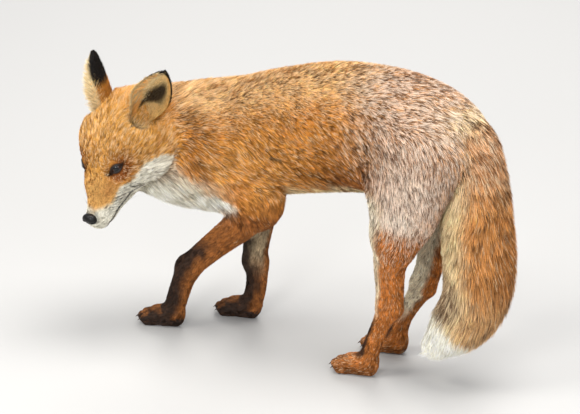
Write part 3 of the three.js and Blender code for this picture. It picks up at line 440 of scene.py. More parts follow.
def markings(P, N, share, who, arc, ang):
    """Colour of the coat, with the chance that a tuft there is a pale one or a dark one."""
    P, N = np.asarray(P, float), np.asarray(N, float)
    h = to_head(P)
    x, y, z = P.T
    n = len(P)
    g = {k: share[:, i].astype(float) for k, i in G.items()}
    n1, n2 = noise(P, 30, 1), noise(P, 12, 2)
    torso = g["trunk"] + g["neck"] + g["upper"] + g["thigh"]
    C = np.repeat(ORANGE[None], n, 0)
    C = lay(C, REDDISH, 0.22 * ramp(N[:, 2], 0.45, 0.95) + 0.22 * np.clip(n1, 0, 1) + 0.12 * ramp(-z, -300, -230))
    # where the coat faces up it gets more TAWNY, a pale cream lay, more pale tufts and fewer dark ones: painted light
    # from above, so the top is lighter
    C = lay(C, TAWNY, 0.35 * np.clip(-n1, 0, 1) + 0.30 * bump3(P, (-20, -70, 270), (70, 60, 45)) + 0.35 * ramp(N[:, 2], 0.25, 0.85))
    pale = 0.20 + 0.28 * ramp(N[:, 2], 0.05, 0.8)
    C = lay(C, rgb(246, 200, 140), 0.74 * ramp(N[:, 2], 0.25, 0.85) * (g["trunk"] + g["neck"]) * (1 - 0.88 * ramp(x, 100, 175)))
    dark = (0.10 + 0.06 * n2) * (1 - 0.35 * ramp(N[:, 2], 0.3, 0.9))
    # grizzled rump and thigh
    rump = ramp(x + 0.30 * (z - 300) + 14 * n1, 92, 176) * (g["trunk"] + g["thigh"])
    haunch = bump3(P * [1, 0, 1], (208, 0, 270), (50, 1e9, 62)) * rump
    C = lay(C, GREYBROWN, np.clip(0.46 * rump + 0.26 * haunch, 0, 1))
    pale = pale + 0.26 * rump + 0.16 * haunch
    dark = dark + 0.36 * rump * (1 - 0.4 * haunch)
    lowthigh = ramp(-z + 6 * n1, -262, -222) * ramp(z, 214, 238) * g["thigh"] * ramp(-x, -236, -205)
    C = lay(C, SILVER, np.clip(0.52 * haunch + 0.58 * lowthigh, 0, 0.8))
    pale = pale + 0.3 * lowthigh
    # painted shade on the lower rear flank in front of the thigh, dark streaks behind the ear and on the side of the
    # neck
    lower_flank_shade = bump3(P * [1, 0, 1], (112, 0, 256), (52, 1e9, 34)) * g["trunk"]
    C = lay(C, DEEP, 0.80 * np.clip(lower_flank_shade * 1.2, 0, 1))
    dark = dark + 0.30 * lower_flank_shade
    pale = pale * (1 - 0.7 * lower_flank_shade)
    streak = bump3(P * [1, 0, 1], (-112, 0, 300), (26, 1e9, 46)) * (g["neck"] + g["trunk"]) * ramp(np.abs(y + 30), 20, 45)
    dark = dark + 0.78 * streak * np.clip(0.75 + 0.8 * noise(P * [1.0, 1.0, 0.5], 9, 6), 0.1, 1.5)
    C = lay(C, DEEP, 0.25 * streak)
    # cream below, chest and throat white
    under = ramp(-N[:, 2] + 0.15 * n2, 0.62, 0.95) * g["trunk"] * ramp(x, -150, -90)
    C = lay(C, CREAM, 0.85 * under)
    throat = ramp(-z + 5 * n2, -232, -212) * (g["neck"] + g["head"]) * ramp(-x, 40, 75)
    chest = bump3(P * [1, 0, 1], (-84, 0, 200), (42, 1e9, 21))
    chest = ramp(chest + 0.10 * n2, 0.38, 0.62) * (g["neck"] + g["trunk"] + g["upper"])
    breast = ramp(-z, -205, -190) * (g["trunk"] + g["neck"]) * ramp(-x, 50, 80)
    wht = np.clip(throat * 0.9 + chest + breast, 0, 1)
    C = lay(C, WHITE, wht)
    # grey-cream over the white of the throat under the lowered head: painted shade
    C = lay(C, lay(GREY[None], CREAM, np.array([0.4]))[0], 0.78 * throat * (1 - chest))
    # front edge of the thigh, cream
    edge = ramp(-N[:, 0], 0.12, 0.5) * (g["thigh"] + 0.85 * g["shank"] + 0.4 * g["hock"]) * ramp(z, 66, 96) * ramp(-z, -275, -245)
    C = lay(C, lay(CREAM[None], WHITE, np.array([0.5]))[0], 0.95 * edge)
    # legs
    inner = ramp(-N[:, 1] * np.sign(y + 4), 0.1, 0.65)
    hind = (x > 60).astype(float)
    rustz = ramp(-z + 8 * n1, -232, -198) * (g["thigh"] + g["shank"]) + g["shank"] * 0.3 + g["hock"] + g["paw"] * hind
    rustz = np.clip(rustz, 0, 1) * hind
    C = lay(C, RUST, rustz * (1 - edge))
    C = lay(C, lay(CREAM[None], WHITE, np.array([0.5]))[0], 0.85 * ramp(inner, 0.4, 1.0) * rustz * ramp(z, 46, 80) * ramp(-N[:, 0], -0.50, -0.15))
    shin = ramp(-N[:, 0] + 0.2 * n2, 0.15, 0.6) * (g["hock"] + 0.6 * g["paw"]) * hind * ramp(z, 10, 26) * ramp(-z, -96, -80)
    fore = 1 - hind
    arm = (g["forearm"] + g["upper"] * ramp(-z, -205, -190) + g["pastern"] + g["paw"]) * fore
    C = lay(C, lay(REDDISH[None], BROWN, np.array([0.56]))[0], 0.90 * arm)
    C = lay(C, lay(CREAM[None], GREY, np.array([0.5]))[0], 0.75 * inner * g["forearm"] * fore * ramp(z, 60, 90) * (y > 0))
    ahead = -np.sin(ang)          # the front of the leg
    low = ramp(-z, -118, -50)
    wet = ramp(ahead + 0.45 * low + 0.30 * noise(P * [1.0, 1.0, 0.35], 7, 7) + 0.10 * n1, -0.55, 0.30)
    sock = (g["forearm"] * ramp(-z + 7 * n1, -150, -120) + g["pastern"] + g["paw"]) * fore
    C = lay(C, SOOT, 0.95 * sock * np.clip(wet + 0.25 * g["paw"], 0, 1))
    C = lay(C, BLACK, 0.92 * shin)
    C = lay(C, SOOT, 0.5 * g["paw"] * ramp(-z, -22, -8) + 0.35 * g["paw"] * ramp(-x + 100, 0, 14) * hind)
    legs = g["shank"] + g["hock"] + g["forearm"] + g["pastern"] + g["paw"]
    pale = pale * (1 - 0.6 * legs) * (1 - 0.9 * np.clip(g["upper"] * ramp(-z, -245, -210) + g["forearm"], 0, 1)) * (1 - np.clip(sock * 1.5, 0, 1)) * (1 - shin)
    dark = dark * (1 - 0.5 * legs) + 0.06 * legs
    # tail: buff in front and at the sides, orange behind, with dark specks and a white tip
    t = arc.astype(float)
    back = ramp(np.sin(ang) - 0.35 * np.cos(ang) + 0.20 * n1, 0.05, 0.80)
    tl = g["tail"]
    T = lay(np.repeat(BUFF[None], n, 0), lay(ORANGE[None], REDDISH, np.array([0.45]))[0], back * (0.88 - 0.38 * ramp(t, 0.55, 0.80)))
    T = lay(T, GREYBROWN, 0.42 * ramp(-t, -0.30, -0.08))
    T = lay(T, CREAM, 0.4 * ramp(t, 0.45, 0.8) * (1 - back))
    fringe = ramp(-np.sin(ang) - 0.15 * np.cos(ang) + 0.15 * n2, 0.02, 0.60) * ramp(t, 0.50, 0.62) * ramp(-t, -0.82, -0.75)
    T = lay(T, BROWN, 0.75 * fringe)
    T = lay(T, DEEP, 0.35 * ramp(np.sin(ang) + 0.2 * n1, 0.7, 1.0) * ramp(t, 0.30, 0.45) * ramp(-t, -0.7, -0.6))
    gland = bump3(P, (310, 2, 282), (16, 30, 11))
    T = lay(T, SOOT, 0.8 * gland)
    tip = ramp(t + 0.035 * n1 + 0.012 * n2 - 0.05 * back, 0.755, 0.80)
    T = lay(T, WHITE, tip)
    C = lay(C, T, np.clip(tl * 1.25, 0, 1))
    pale = pale * (1 - tl) + tl * (0.34 - 0.24 * back * ramp(t, 0.15, 0.3) + 0.3 * tip)
    dark = dark * (1 - tl) + tl * (1 - tip) * (0.07 + 0.12 * back + 0.40 * gland + 0.55 * fringe + 0.12 * ramp(-t, -0.3, -0.1))
    rootp = bump3(P, (252, -20, 358), (20, 26, 15)) + bump3(P, (252, 26, 358), (20, 26, 15))
    C = lay(C, BUFF, 0.75 * np.clip(rootp, 0, 1))
    # head
    hx, hy, hz = h.T
    hd = np.clip(g["head"] + g["muzzle"] + g["ruff"], 0, 1)
    F = np.repeat(TAWNY[None], n, 0)
    F = lay(F, ORANGE, np.clip(0.5 + 0.5 * n1, 0, 1) * 0.45)
    F = lay(F, REDDISH, 0.30 * bump3(h, (-12, 0, 12), (22, 17, 14)) + 0.35 * ramp(-hx, 70, 95))
    F = lay(F, rgb(236, 184, 118), 0.85 * ramp(hx, 10, 28))
    F = lay(F, rgb(184, 120, 66), 0.30 * ramp(hx, 34, 60) * ramp(-np.abs(hy), -7, -3))
    for s in (1, -1):
        eye = bump3(h, (-3, s * 31, -4), (24, 15, 15))
        F = lay(F, rgb(154, 76, 20), 0.88 * np.clip(eye * 1.4, 0, 1))
        F = lay(F, rgb(166, 96, 44), 0.5 * bump3(h, (26, s * 18, -12), (26, 7, 7)))
    zb = np.interp(hx, [-80, -60, -44, -33, -17, 4, 20, 40, 54, 70], [-92, -76, -54, -29, -17.5, -22.5, -18, -24, -18, -13])
    lower = ramp(zb - hz + 2.6 * n2, -2.5, 3.0)
    F = lay(F, WHITE, lower)
    # the white is greyer further down under the jaw and back towards the throat: painted shade; the fixed and noise
    # parts are the white's own grey tone
    F = lay(F, GREY, lower * (0.12 + 0.10 * ramp(-hx, 0, 30) + 0.25 * ramp(-hz, 48, 66) + 0.22 * np.clip(n2, 0, 1)))
    F[:, 2] *= 1 - 0.16 * (1 - lower)
    # whisker rows, lips, tear mark
    rows_ = np.zeros(n)
    for k, zz in enumerate((-22.5, -27, -31.5)):
        rows_ += np.exp(-((hz - zz - 0.05 * (hx - 40)) / 0.9) ** 2)
    F = lay(F, SOOT, 0.8 * rows_ * ramp(hx, 20, 32) * ramp(-hx, -60, -54) * np.clip(0.35 + 0.9 * noise(P, 4, 5), 0, 1))
    corner = np.exp(-((hz - mouth_z(hx) - 7) / 5) ** 2) * bump3(h * [1, 0, 1], (24, 0, -32), (14, 1e9, 12))
    F = lay(F, SOOT, 0.55 * corner * np.clip(0.5 + n2, 0, 1))
    lip = np.exp(-((hz - mouth_z(hx) + 0.9) / 1.7) ** 2) * ramp(hx, -3, 4)
    F = lay(F, BLACK, 0.95 * np.clip(lip * 1.3, 0, 1))
    for e in EYES:
        q = P - e["c"]
        a, b, c = q @ e["u"], q @ e["v"], q @ e["n"]
        ring = np.exp(-(np.maximum(lid_gap(a, b), 0) / 2.3) ** 2) * (c > 0)
        tear = np.exp(-((b + 2.4 + 0.22 * (a + 9)) / 1.7) ** 2) * ramp(-a, 6.8, 8.6) * ramp(a, -20, -14) * (c > -3)
        F = lay(F, BLACK, np.clip(ring * 1.3 + 0.9 * tear, 0, 1) * 0.95)
        out = np.exp(-((b - 0.6 - 0.10 * (a - 8)) / 1.3) ** 2) * ramp(a, 7.0, 9) * ramp(-a, -15, -11) * (c > -4)
        F = lay(F, SOOT, 0.75 * out)
    near_nose = ramp(hx, 55, 61) * ramp(hz, -30, -24)
    F = lay(F, SOOT, 0.5 * near_nose * ramp(-np.abs(hy), -12, -8))
    # in the ears' hollows, cream round the rim and dark further in: the dark is partly the ear's own dark skin, partly
    # painted shade deepening into the hollow
    hol = -hollow(P.astype(F4)).astype(float)
    F = lay(F, STRAW, ramp(hol, -7.5, -5.5))
    F = lay(F, SOOT, 0.9 * ramp(hol, -5.4, -3.4))
    side_throat = g["neck"] * ramp(hx, -44, -34) * lower * ramp(-hz, 20, 34)
    C = lay(C, WHITE, side_throat * (1 - hd))
    C = lay(C, F, hd)
    pale = pale * (1 - hd) + hd * np.where(lower > 0.5, 0.24, 0.34) * ramp(-hx, -30, 5)
    dark = dark * (1 - hd) + hd * (0.02 + 0.09 * ramp(-hx, -10, 20))
    white = np.clip(wht * (1 - hd) + lower * hd + side_throat * (1 - hd) + tip * tl, 0, 1)
    dark = dark * (1 - 0.75 * white)
    return np.clip(C, 0, 1), np.clip(pale, 0, 0.9), np.clip(dark, 0, 0.85), white


# ---------------------------------------------------------------- meshes
def metres(P):
    return (np.asarray(P, float) + SHIFT) / 1000.0


def new_mesh(name, V, faces, material, smooth=True, colours=None, uv=None):
    """A piece from arrays: V in metres, faces (n, 3) or (n, 4)."""
    faces = np.asarray(faces, np.int32)
    k = faces.shape[1]
    me = bpy.data.meshes.new(name)
    me.vertices.add(len(V))
    me.vertices.foreach_set("co", np.asarray(V, F4).ravel())
    me.loops.add(faces.size)
    me.loops.foreach_set("vertex_index", faces.ravel())
    me.polygons.add(len(faces))
    me.polygons.foreach_set("loop_start", np.arange(0, faces.size, k, dtype=np.int32))
    me.polygons.foreach_set("loop_total", np.full(len(faces), k, np.int32))
    if uv is not None:
        layer = me.uv_layers.new(name="OFBake")
        layer.data.foreach_set("uv", np.asarray(uv, F4)[faces.ravel()].ravel())
    if colours is not None:
        c = np.concatenate([np.asarray(colours, F4), np.ones((len(colours), 1), F4)], 1)
        at = me.color_attributes.new("tint", "FLOAT_COLOR", "POINT")
        at.data.foreach_set("color", c.ravel())
    me.materials.append(material)
    me.polygons.foreach_set("use_smooth", np.full(len(faces), smooth))
    me.update()
    me.validate()
    ob = bpy.data.objects.new(name, me)
    bpy.context.scene.collection.objects.link(ob)
    return ob


def closed_tube(path, radii, sides=8, squash=1.0, up=(0, 0, 1)):
    """A closed tapered tube along path."""
    path, radii = np.asarray(path, float), np.asarray(radii, float)
    T = rows_unit(np.gradient(path, axis=0))
    S = rows_unit(np.cross(T, np.asarray(up, float)))
    U = np.cross(S, T)
    a = np.arange(sides) * 2 * np.pi / sides
    ring = path[:, None] + radii[:, None, None] * (np.cos(a)[None, :, None] * S[:, None] * squash + np.sin(a)[None, :, None] * U[:, None])
    V = np.vstack([ring.reshape(-1, 3), path[:1], path[-1:]])
    F, n = [], len(path)
    for j in range(n - 1):
        for i in range(sides):
            k = (i + 1) % sides
            p, q, r, s = j * sides + i, j * sides + k, (j + 1) * sides + k, (j + 1) * sides + i
            F += [(p, q, r), (p, r, s)]
    for i in range(sides):
        k = (i + 1) % sides
        F += [(k, i, n * sides), ((n - 1) * sides + i, (n - 1) * sides + k, n * sides + 1)]
    return V, np.array(F)


def sphere(across, down):
    """Unit ball, poles on x."""
    V, F = [], []
    for j in range(down + 1):
        t = math.pi * j / down
        for i in range(across):
            p = 2 * math.pi * i / across
            V.append((math.cos(t), math.sin(t) * math.cos(p), math.sin(t) * math.sin(p)))
    for j in range(down):
        for i in range(across):
            k = (i + 1) % across
            a, b, c, d = j * across + i, j * across + k, (j + 1) * across + k, (j + 1) * across + i
            F += [(a, c, b), (a, d, c)]
    return np.array(V), np.array(F)


def weld(V, F):
    """One vertex for each place, and no face without area."""
    key = np.round(V * 1e5).astype(np.int64)
    _, first, back = np.unique(key, axis=0, return_index=True, return_inverse=True)
    back = back.ravel()
    F = back[F]
    F = F[(F[:, 0] != F[:, 1]) & (F[:, 1] != F[:, 2]) & (F[:, 0] != F[:, 2])]
    return V[first], F, first


# ---------------------------------------------------------------- materials
def material(name, roughness=0.6, specular=0.4, sheen=0.0, coat=0.0, tint=True, colour=(0.5, 0.5, 0.5), fine=900.0, vary=0.16, bump=0.0, bump_scale=600.0, distance=0.0004):
    """The piece's own tint, varied by a fine noise, with bump where asked."""
    m = bpy.data.materials.new(name)
    m.use_nodes = True
    nt = m.node_tree
    nt.nodes.clear()
    out = nt.nodes.new("ShaderNodeOutputMaterial")
    b = nt.nodes.new("ShaderNodeBsdfPrincipled")
    nt.links.new(b.outputs[0], out.inputs[0])
    b.inputs["Roughness"].default_value = roughness
    b.inputs["Specular IOR Level"].default_value = specular
    b.inputs["Sheen Weight"].default_value = sheen
    b.inputs["Sheen Roughness"].default_value = 0.6
    b.inputs["Coat Weight"].default_value = coat
    b.inputs["Coat Roughness"].default_value = 0.04
    co = nt.nodes.new("ShaderNodeTexCoord")
    nz = nt.nodes.new("ShaderNodeTexNoise")
    nz.inputs["Scale"].default_value = fine
    nz.inputs["Detail"].default_value = 3
    nt.links.new(co.outputs["Object"], nz.inputs["Vector"])
    mr = nt.nodes.new("ShaderNodeMapRange")
    mr.inputs["From Min"].default_value, mr.inputs["From Max"].default_value = 0.3, 0.7
    mr.inputs["To Min"].default_value, mr.inputs["To Max"].default_value = 1 - vary, 1 + vary
    nt.links.new(nz.outputs[0], mr.inputs["Value"])
    mul = nt.nodes.new("ShaderNodeVectorMath")
    mul.operation = "SCALE"
    if tint:
        at = nt.nodes.new("ShaderNodeVertexColor")
        at.layer_name = "tint"
        nt.links.new(at.outputs["Color"], mul.inputs[0])
    else:
        mul.inputs[0].default_value = colour
    nt.links.new(mr.outputs[0], mul.inputs["Scale"])
    nt.links.new(mul.outputs[0], b.inputs["Base Color"])
    if bump:
        n2 = nt.nodes.new("ShaderNodeTexNoise")
        n2.inputs["Scale"].default_value = bump_scale
        n2.inputs["Detail"].default_value = 4
        nt.links.new(co.outputs["Object"], n2.inputs["Vector"])
        bm = nt.nodes.new("ShaderNodeBump")
        bm.inputs["Strength"].default_value = bump
        bm.inputs["Distance"].default_value = distance
        nt.links.new(n2.outputs[0], bm.inputs["Height"])
        nt.links.new(bm.outputs[0], b.inputs["Normal"])
    return m


FUR = material("fur", roughness=0.62, specular=0.25, sheen=0.0, vary=0.10, fine=700)
SKIN = material("skin_under_fur", roughness=0.8, specular=0.15, vary=0.22, fine=500, bump=0.6, bump_scale=900, distance=0.0006)
LEATHER = material("nose_leather", roughness=0.42, specular=0.25, coat=0.10, vary=0.3, fine=900, bump=0.8, bump_scale=1300, distance=0.0003)
EYE = material("eye", roughness=0.10, specular=0.15, coat=0.55, vary=0.12, fine=1500)
LID = material("eyelid", roughness=0.45, specular=0.4, vary=0.2, fine=1200, bump=0.5, bump_scale=1500, distance=0.0002)
HORN = material("claw_horn", roughness=0.45, specular=0.4, vary=0.25, fine=400, bump=0.3, bump_scale=500, distance=0.0002)
WHISKER = material("whisker", roughness=0.4, specular=0.4, tint=False, colour=(0.03, 0.022, 0.018), vary=0.3, fine=600)


# ---------------------------------------------------------------- the skin
def make_skin(vox=2.4, block=4):
    lo = np.array([-272.0, -188.0, -6.0])
    hi = np.array([342.0, 96.0, 412.0])
    nb = np.ceil((hi - lo) / (vox * block)).astype(int)
    size = vox * block
    centres = np.stack(np.meshgrid(*[lo[k] + size * (np.arange(nb[k]) + 0.5) for k in range(3)], indexing="ij"), -1).reshape(-1, 3)
    cf = skin_field(centres)
    cf = cf.reshape(nb)
    active = np.abs(cf) < size * 0.87 + 5
    D = np.repeat(np.repeat(np.repeat(cf, block, 0), block, 1), block, 2)
    D = np.pad(D, ((0, 1),) * 3, mode="edge").astype(F4)
    todo = np.zeros(D.shape, bool)
    A = np.argwhere(active) * block
    r = np.arange(block + 1)
    off = np.stack(np.meshgrid(r, r, r, indexing="ij"), -1).reshape(-1, 3)
    I = (A[:, None] + off[None]).reshape(-1, 3)
    todo[I[:, 0], I[:, 1], I[:, 2]] = True
    I = np.argwhere(todo)
    vals = np.concatenate([skin_field(lo + vox * part) for part in np.array_split(I, max(1, len(I) // 120000))])
    D[I[:, 0], I[:, 1], I[:, 2]] = np.where(np.abs(vals) < 1e-5, 1e-5, vals)
    inn = D < 0
    nc = np.array(D.shape) - 1
    s = np.zeros(nc, np.int8)
    for o in off[(off < 2).all(1)]:
        s += inn[o[0]:o[0] + nc[0], o[1]:o[1] + nc[1], o[2]:o[2] + nc[2]]
    act = (s > 0) & (s < 8)
    ac = np.argwhere(act)
    idx = -np.ones(nc, np.int64)
    idx[act] = np.arange(len(ac))
    V, cnt = np.zeros((len(ac), 3)), np.zeros(len(ac))
    for a in [(i, j, k) for i in (0, 1) for j in (0, 1) for k in (0, 1)]:
        for ax in range(3):
            if a[ax]:
                continue
            b = list(a)
            b[ax] = 1
            p, q = ac + a, ac + b
            da, db = D[p[:, 0], p[:, 1], p[:, 2]], D[q[:, 0], q[:, 1], q[:, 2]]
            m = (da < 0) != (db < 0)
            t = np.where(m, da / np.where(m, da - db, 1), 0)
            e = p + 0.0
            e[:, ax] += t
            V[m] += e[m]
            cnt[m] += 1
    V = V / cnt[:, None] * vox + lo
    Q = []
    for ax in range(3):
        o = [i for i in range(3) if i != ax]
        s0, s1 = [slice(None)] * 3, [slice(None)] * 3
        s0[ax], s1[ax] = slice(0, -1), slice(1, None)
        E = np.argwhere(inn[tuple(s0)] != inn[tuple(s1)])
        E = E[(E[:, o[0]] > 0) & (E[:, o[1]] > 0) & (E[:, o[0]] < nc[o[0]]) & (E[:, o[1]] < nc[o[1]])]

        def cell(du, dv):
            c = E.copy()
            c[:, o[0]] -= du
            c[:, o[1]] -= dv
            return idx[c[:, 0], c[:, 1], c[:, 2]]

        q = np.stack([cell(0, 0), cell(1, 0), cell(1, 1), cell(0, 1)], 1)
        flip = inn[E[:, 0], E[:, 1], E[:, 2]]
        if ax == 1:
            flip = ~flip
        q[flip] = q[flip][:, ::-1]
        Q.append(q[:, ::-1])
    Q = np.vstack(Q)
    tell(f"skin grid: {len(I)} points, {len(V)} vertices, {len(Q)} quads")
    return V, Q


def settle(V, field, passes=2, most=1.5):
    V = V.astype(F4)
    for _ in range(passes):
        f, g = gradient(field, V)
        s = np.clip(f / np.maximum((g * g).sum(1), 0.3), -most, most)
        V = V - g * s[:, None]
    return V


def keep_biggest(V, F):
    """The largest connected shell."""
    lab = np.arange(len(V))
    while True:
        m = lab[F].min(1)
        new = lab.copy()
        for k in range(F.shape[1]):
            np.minimum.at(new, F[:, k], m)
        new = new[new]
        if (new == lab).all():
            break
        lab = new
    labs, counts = np.unique(lab, return_counts=True)
    good = lab == labs[counts.argmax()]
    to = np.cumsum(good) - 1
    return V[good], to[F[good[F[:, 0]]]]


V, Q = make_skin()
V, Q = keep_biggest(V, Q)
V = settle(V, lambda X: skin_field(X, True), 2)
# finer faces round the eyes, the muzzle and the mouth
me = bpy.data.meshes.new("skin")
me.from_pydata(V.tolist(), [], Q.tolist())
bm = bmesh.new()
bm.from_mesh(me)
H = to_head(np.array([v.co[:] for v in bm.verts]))
fine = (H[:, 0] > 20) & (H[:, 0] < 90)
for e in EYES:
    c = to_head(e["c"][None])[0]
    fine |= (np.linalg.norm(H - c, axis=1) < 21)
fine |= (H[:, 0] > -6) & (H[:, 0] < 90) & (np.abs(H[:, 2] - mouth_z(H[:, 0])) < 6) & (np.abs(H[:, 1]) < 40)
bm.verts.ensure_lookup_table()
edges = [ed for ed in bm.edges if fine[ed.verts[0].index] and fine[ed.verts[1].index]]
bmesh.ops.subdivide_edges(bm, edges=edges, cuts=2, use_grid_fill=True)
bmesh.ops.triangulate(bm, faces=bm.faces[:])
bm.verts.ensure_lookup_table()
bm.verts.index_update()
V = np.array([v.co[:] for v in bm.verts])
TRI = np.array([[v.index for v in f.verts] for f in bm.faces])
bm.free()
bpy.data.meshes.remove(me)
V = settle(V, lambda X: skin_field(X, True), 2, 1.0)
# the opening between the lids goes in behind the front of the ball
for e in EYES:
    q = V - e["c"]
    a, b, c = q @ e["u"], q @ e["v"], q @ e["n"]
    dist = np.linalg.norm(q, axis=1)
    t = ramp(-lid_gap(a, b), 0.0, 0.9) * (c > 1.0) * (dist < EYE_RADIUS + 9)
    to = dist * (1 - t) + np.minimum(dist, EYE_RADIUS - 1.8) * t
    V = e["c"] + q * (to / np.maximum(dist, 1e-6))[:, None]
V[:, 2] = np.maximum(V[:, 2], 0.0)
tell(f"skin: {len(V)} vertices, {len(TRI)} triangles")


def normals_of(V, F):
    n = np.cross(V[F[:, 1]] - V[F[:, 0]], V[F[:, 2]] - V[F[:, 0]])
    out = np.zeros((len(V), 3))
    for k in range(3):
        np.add.at(out, F[:, k], n)
    return rows_unit(out), np.linalg.norm(n, axis=1) / 2


V = V.astype(float)
NV, AREA = normals_of(V, TRI)
if ((V - V.mean(0)) * NV).sum() < 0:
    TRI, NV = TRI[:, ::-1], -NV
_, depth_v, len_v, flow_v, share_v, who_v, arc_v, ang_v = survey(V, True)
C, pale_v, dark_v, _ = markings(V, NV, share_v, who_v, arc_v, ang_v)
# the skin under the fur takes the coat's colour, darker where the coat is deeper: painted shade deep in the coat
under = np.clip(depth_v / 9.0, 0, 1)
SKIN_COLOUR = C * (0.82 - 0.37 * under)[:, None]
skin = new_mesh("skin", metres(V), TRI, SKIN, colours=SKIN_COLOUR)
tell("skin painted")

# ---------------------------------------------------------------- ears
EAR_H, EAR_W, EAR_CUP = 76.0, 25.0, 19.0


def ear_point(e, u, v, inner, coat=0.9):
    """A point of the ear: u -1 to 1 across, v 0 to 1 from base to tip."""
    u, v = np.asarray(u, float), np.asarray(v, float)
    t = np.maximum(v, 0)
    round_ = np.maximum(1 - np.maximum((t - 0.3) / 0.7, 0) ** 1.9, 0) ** 0.62 * (1 + 1.3 * np.minimum(v, 0))
    hw = np.maximum(EAR_W * (0.8 + 0.2 * np.sin(np.minimum(t / 0.36, 1) * np.pi / 2)) * round_ - coat, 0.7)
    ph = math.radians(78)
    cup = EAR_CUP * np.maximum(1 - t, 0) ** 0.75 + 2
    x = hw * np.sin(u * ph) / math.sin(ph)
    y = -cup * (np.cos(u * ph) - math.cos(ph)) / (1 - math.cos(ph)) - 10 * t * t + 6 * t + coat * 0.8
    wall = 2.3 * (1 - 0.55 * t) * (1 - 0.5 * u * u)
    y = y + np.where(inner, wall, 0)
    x = np.where(inner, x * np.maximum(0, 1 - wall * 0.4 / np.maximum(hw, 1.2)), x)
    x = x * (1 - 0.26 * ramp(-v, -0.42, 0.02) * (u < 0))
    x = x + 6 * t * (1 - t) + 3 * t ** 3
    return e["B"] + e["D"] * (EAR_H * 0.985 * v)[..., None] + e["W"] * x[..., None] + e["O"] * y[..., None]


def ear_colour(u, v, inner, side):
    u, v = np.asarray(u, float), np.asarray(v, float)
    if inner:
        C = lay(np.repeat(rgb(240, 208, 148)[None], len(u), 0), rgb(226, 182, 108), 0.25 + 0.6 * ramp(u, 0.2, 0.9))
        # the dark in the middle of the cup: partly the ear's own dark skin, partly painted shade in the cup
        mid_ = np.interp(v, [-0.2, 0.0, 0.2, 0.5, 0.8], [-0.56, -0.34, 0.02, 0.20, 0.26])
        wide = np.interp(v, [-0.2, 0.0, 0.2, 0.4, 0.75], [0.30, 0.36, 0.48, 0.38, 0.18])
        dark_skin_and_cup_shade = np.exp(-np.abs((u - mid_) / wide) ** 3) * ramp(-v, -0.86, -0.50)
        C = lay(C, SOOT, 0.96 * np.clip(dark_skin_and_cup_shade * 1.15, 0, 1))
        C = lay(C, rgb(246, 186, 104), 0.92 * ramp(-u - np.interp(v, [-0.2, 0.2, 0.5, 0.9], [0.80, 0.60, 0.72, 1.0]), -0.08, 0.10))
        C = lay(C, BLACK, 0.7 * ramp(v, 0.90, 0.97))
    else:
        C = np.repeat((ORANGE * 0.8)[None], len(u), 0)
        C = lay(C, BLACK, ramp(v, 0.28, 0.44))
        # the front edge cream, wider towards the base
        edge = np.interp(v, [0.0, 0.3, 0.85, 0.95], [0.62, 0.58, 0.84, 1.0])
        C = lay(C, rgb(238, 214, 166), 0.92 * ramp(-u - edge, -0.06, 0.06))
    C = lay(C, BLACK, ramp(v, 0.95, 0.985))
    return C


ear_tufts = []
for e in EARS:
    NU, NVV = 28, 34
    us, vs = np.linspace(-1, 1, NU + 1), -0.27 + 1.27 * np.linspace(0, 1, NVV + 1) ** 0.92
    U2, V2 = np.meshgrid(us, vs)
    P0, P1 = ear_point(e, U2, V2, False).reshape(-1, 3), ear_point(e, U2, V2, True).reshape(-1, 3)
    W_ = NU + 1
    F = []
    for j in range(NVV):
        for i in range(NU):
            a, b, c, d = j * W_ + i, j * W_ + i + 1, (j + 1) * W_ + i + 1, (j + 1) * W_ + i
            k = len(P0)
            F += [(a, d, c), (a, c, b), (a + k, b + k, c + k), (a + k, c + k, d + k)]
        for i, flip in ((0, False), (NU, True)):
            a, d = j * W_ + i, (j + 1) * W_ + i
            q = [(a, a + k, d + k), (a, d + k, d)]
            F += [t[::-1] for t in q] if flip else q
    for j, flip in ((0, True), (NVV, False)):
        for i in range(NU):
            a, b = j * W_ + i, j * W_ + i + 1
            q = [(a, b + k, b), (a, a + k, b + k)]
            F += [t[::-1] for t in q] if flip else q
    F = np.array(F)
    if e["side"] < 0:
        F = F[:, ::-1]
    EV = np.vstack([P0, P1])
    # the shell is darker than the hair on it: painted shade under the hair
    EC = np.vstack([ear_colour(U2.ravel(), V2.ravel(), False, e["side"]), ear_colour(U2.ravel(), V2.ravel(), True, e["side"])]) * 0.7
    EV, F, first = weld(EV, F)
    name = "left" if e["side"] > 0 else "right"
    ob = new_mesh("ear_shell_" + name, metres(EV), F, SKIN, colours=EC[first])
    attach(ob, "root")
    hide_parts("ear_" + name)
tell("ears")

# ---------------------------------------------------------------- the coat
TOTAL = 385000
BLADE = np.array([(0, 1, 3), (0, 3, 2), (2, 3, 4)])


def blades(R, M, E, n, width, colours, uv_at, twist=None):
    """Tufts from their roots, middles and tips: a pointed leaf of three faces each. colours (n, 3, 3): root, middle, tip."""
    k = len(R)
    t = rows_unit(M - R)
    s = rows_unit(np.cross(t, n))
    up = np.cross(s, t)
    tw = (RNG.random(k) - 0.5) * 1.7 if twist is None else twist
    s = s * np.cos(tw)[:, None] + up * np.sin(tw)[:, None]
    w = width[:, None]
    V = np.stack([R - s * w * 0.8, R + s * w * 0.8, M - s * w, M + s * w, E], 1)
    C = np.stack([colours[:, 0], colours[:, 0], colours[:, 1], colours[:, 1], colours[:, 2]], 1)
    h = 0.0015
    pat = np.array([(-h, -h), (h, -h), (-h, 0), (h, 0), (0, h)])
    UV = uv_at[:, None] + pat[None]
    F = (np.arange(k)[:, None, None] * 5 + BLADE[None]).reshape(-1, 3)
    return V.reshape(-1, 3), F, C.reshape(-1, 3), UV.reshape(-1, 2)


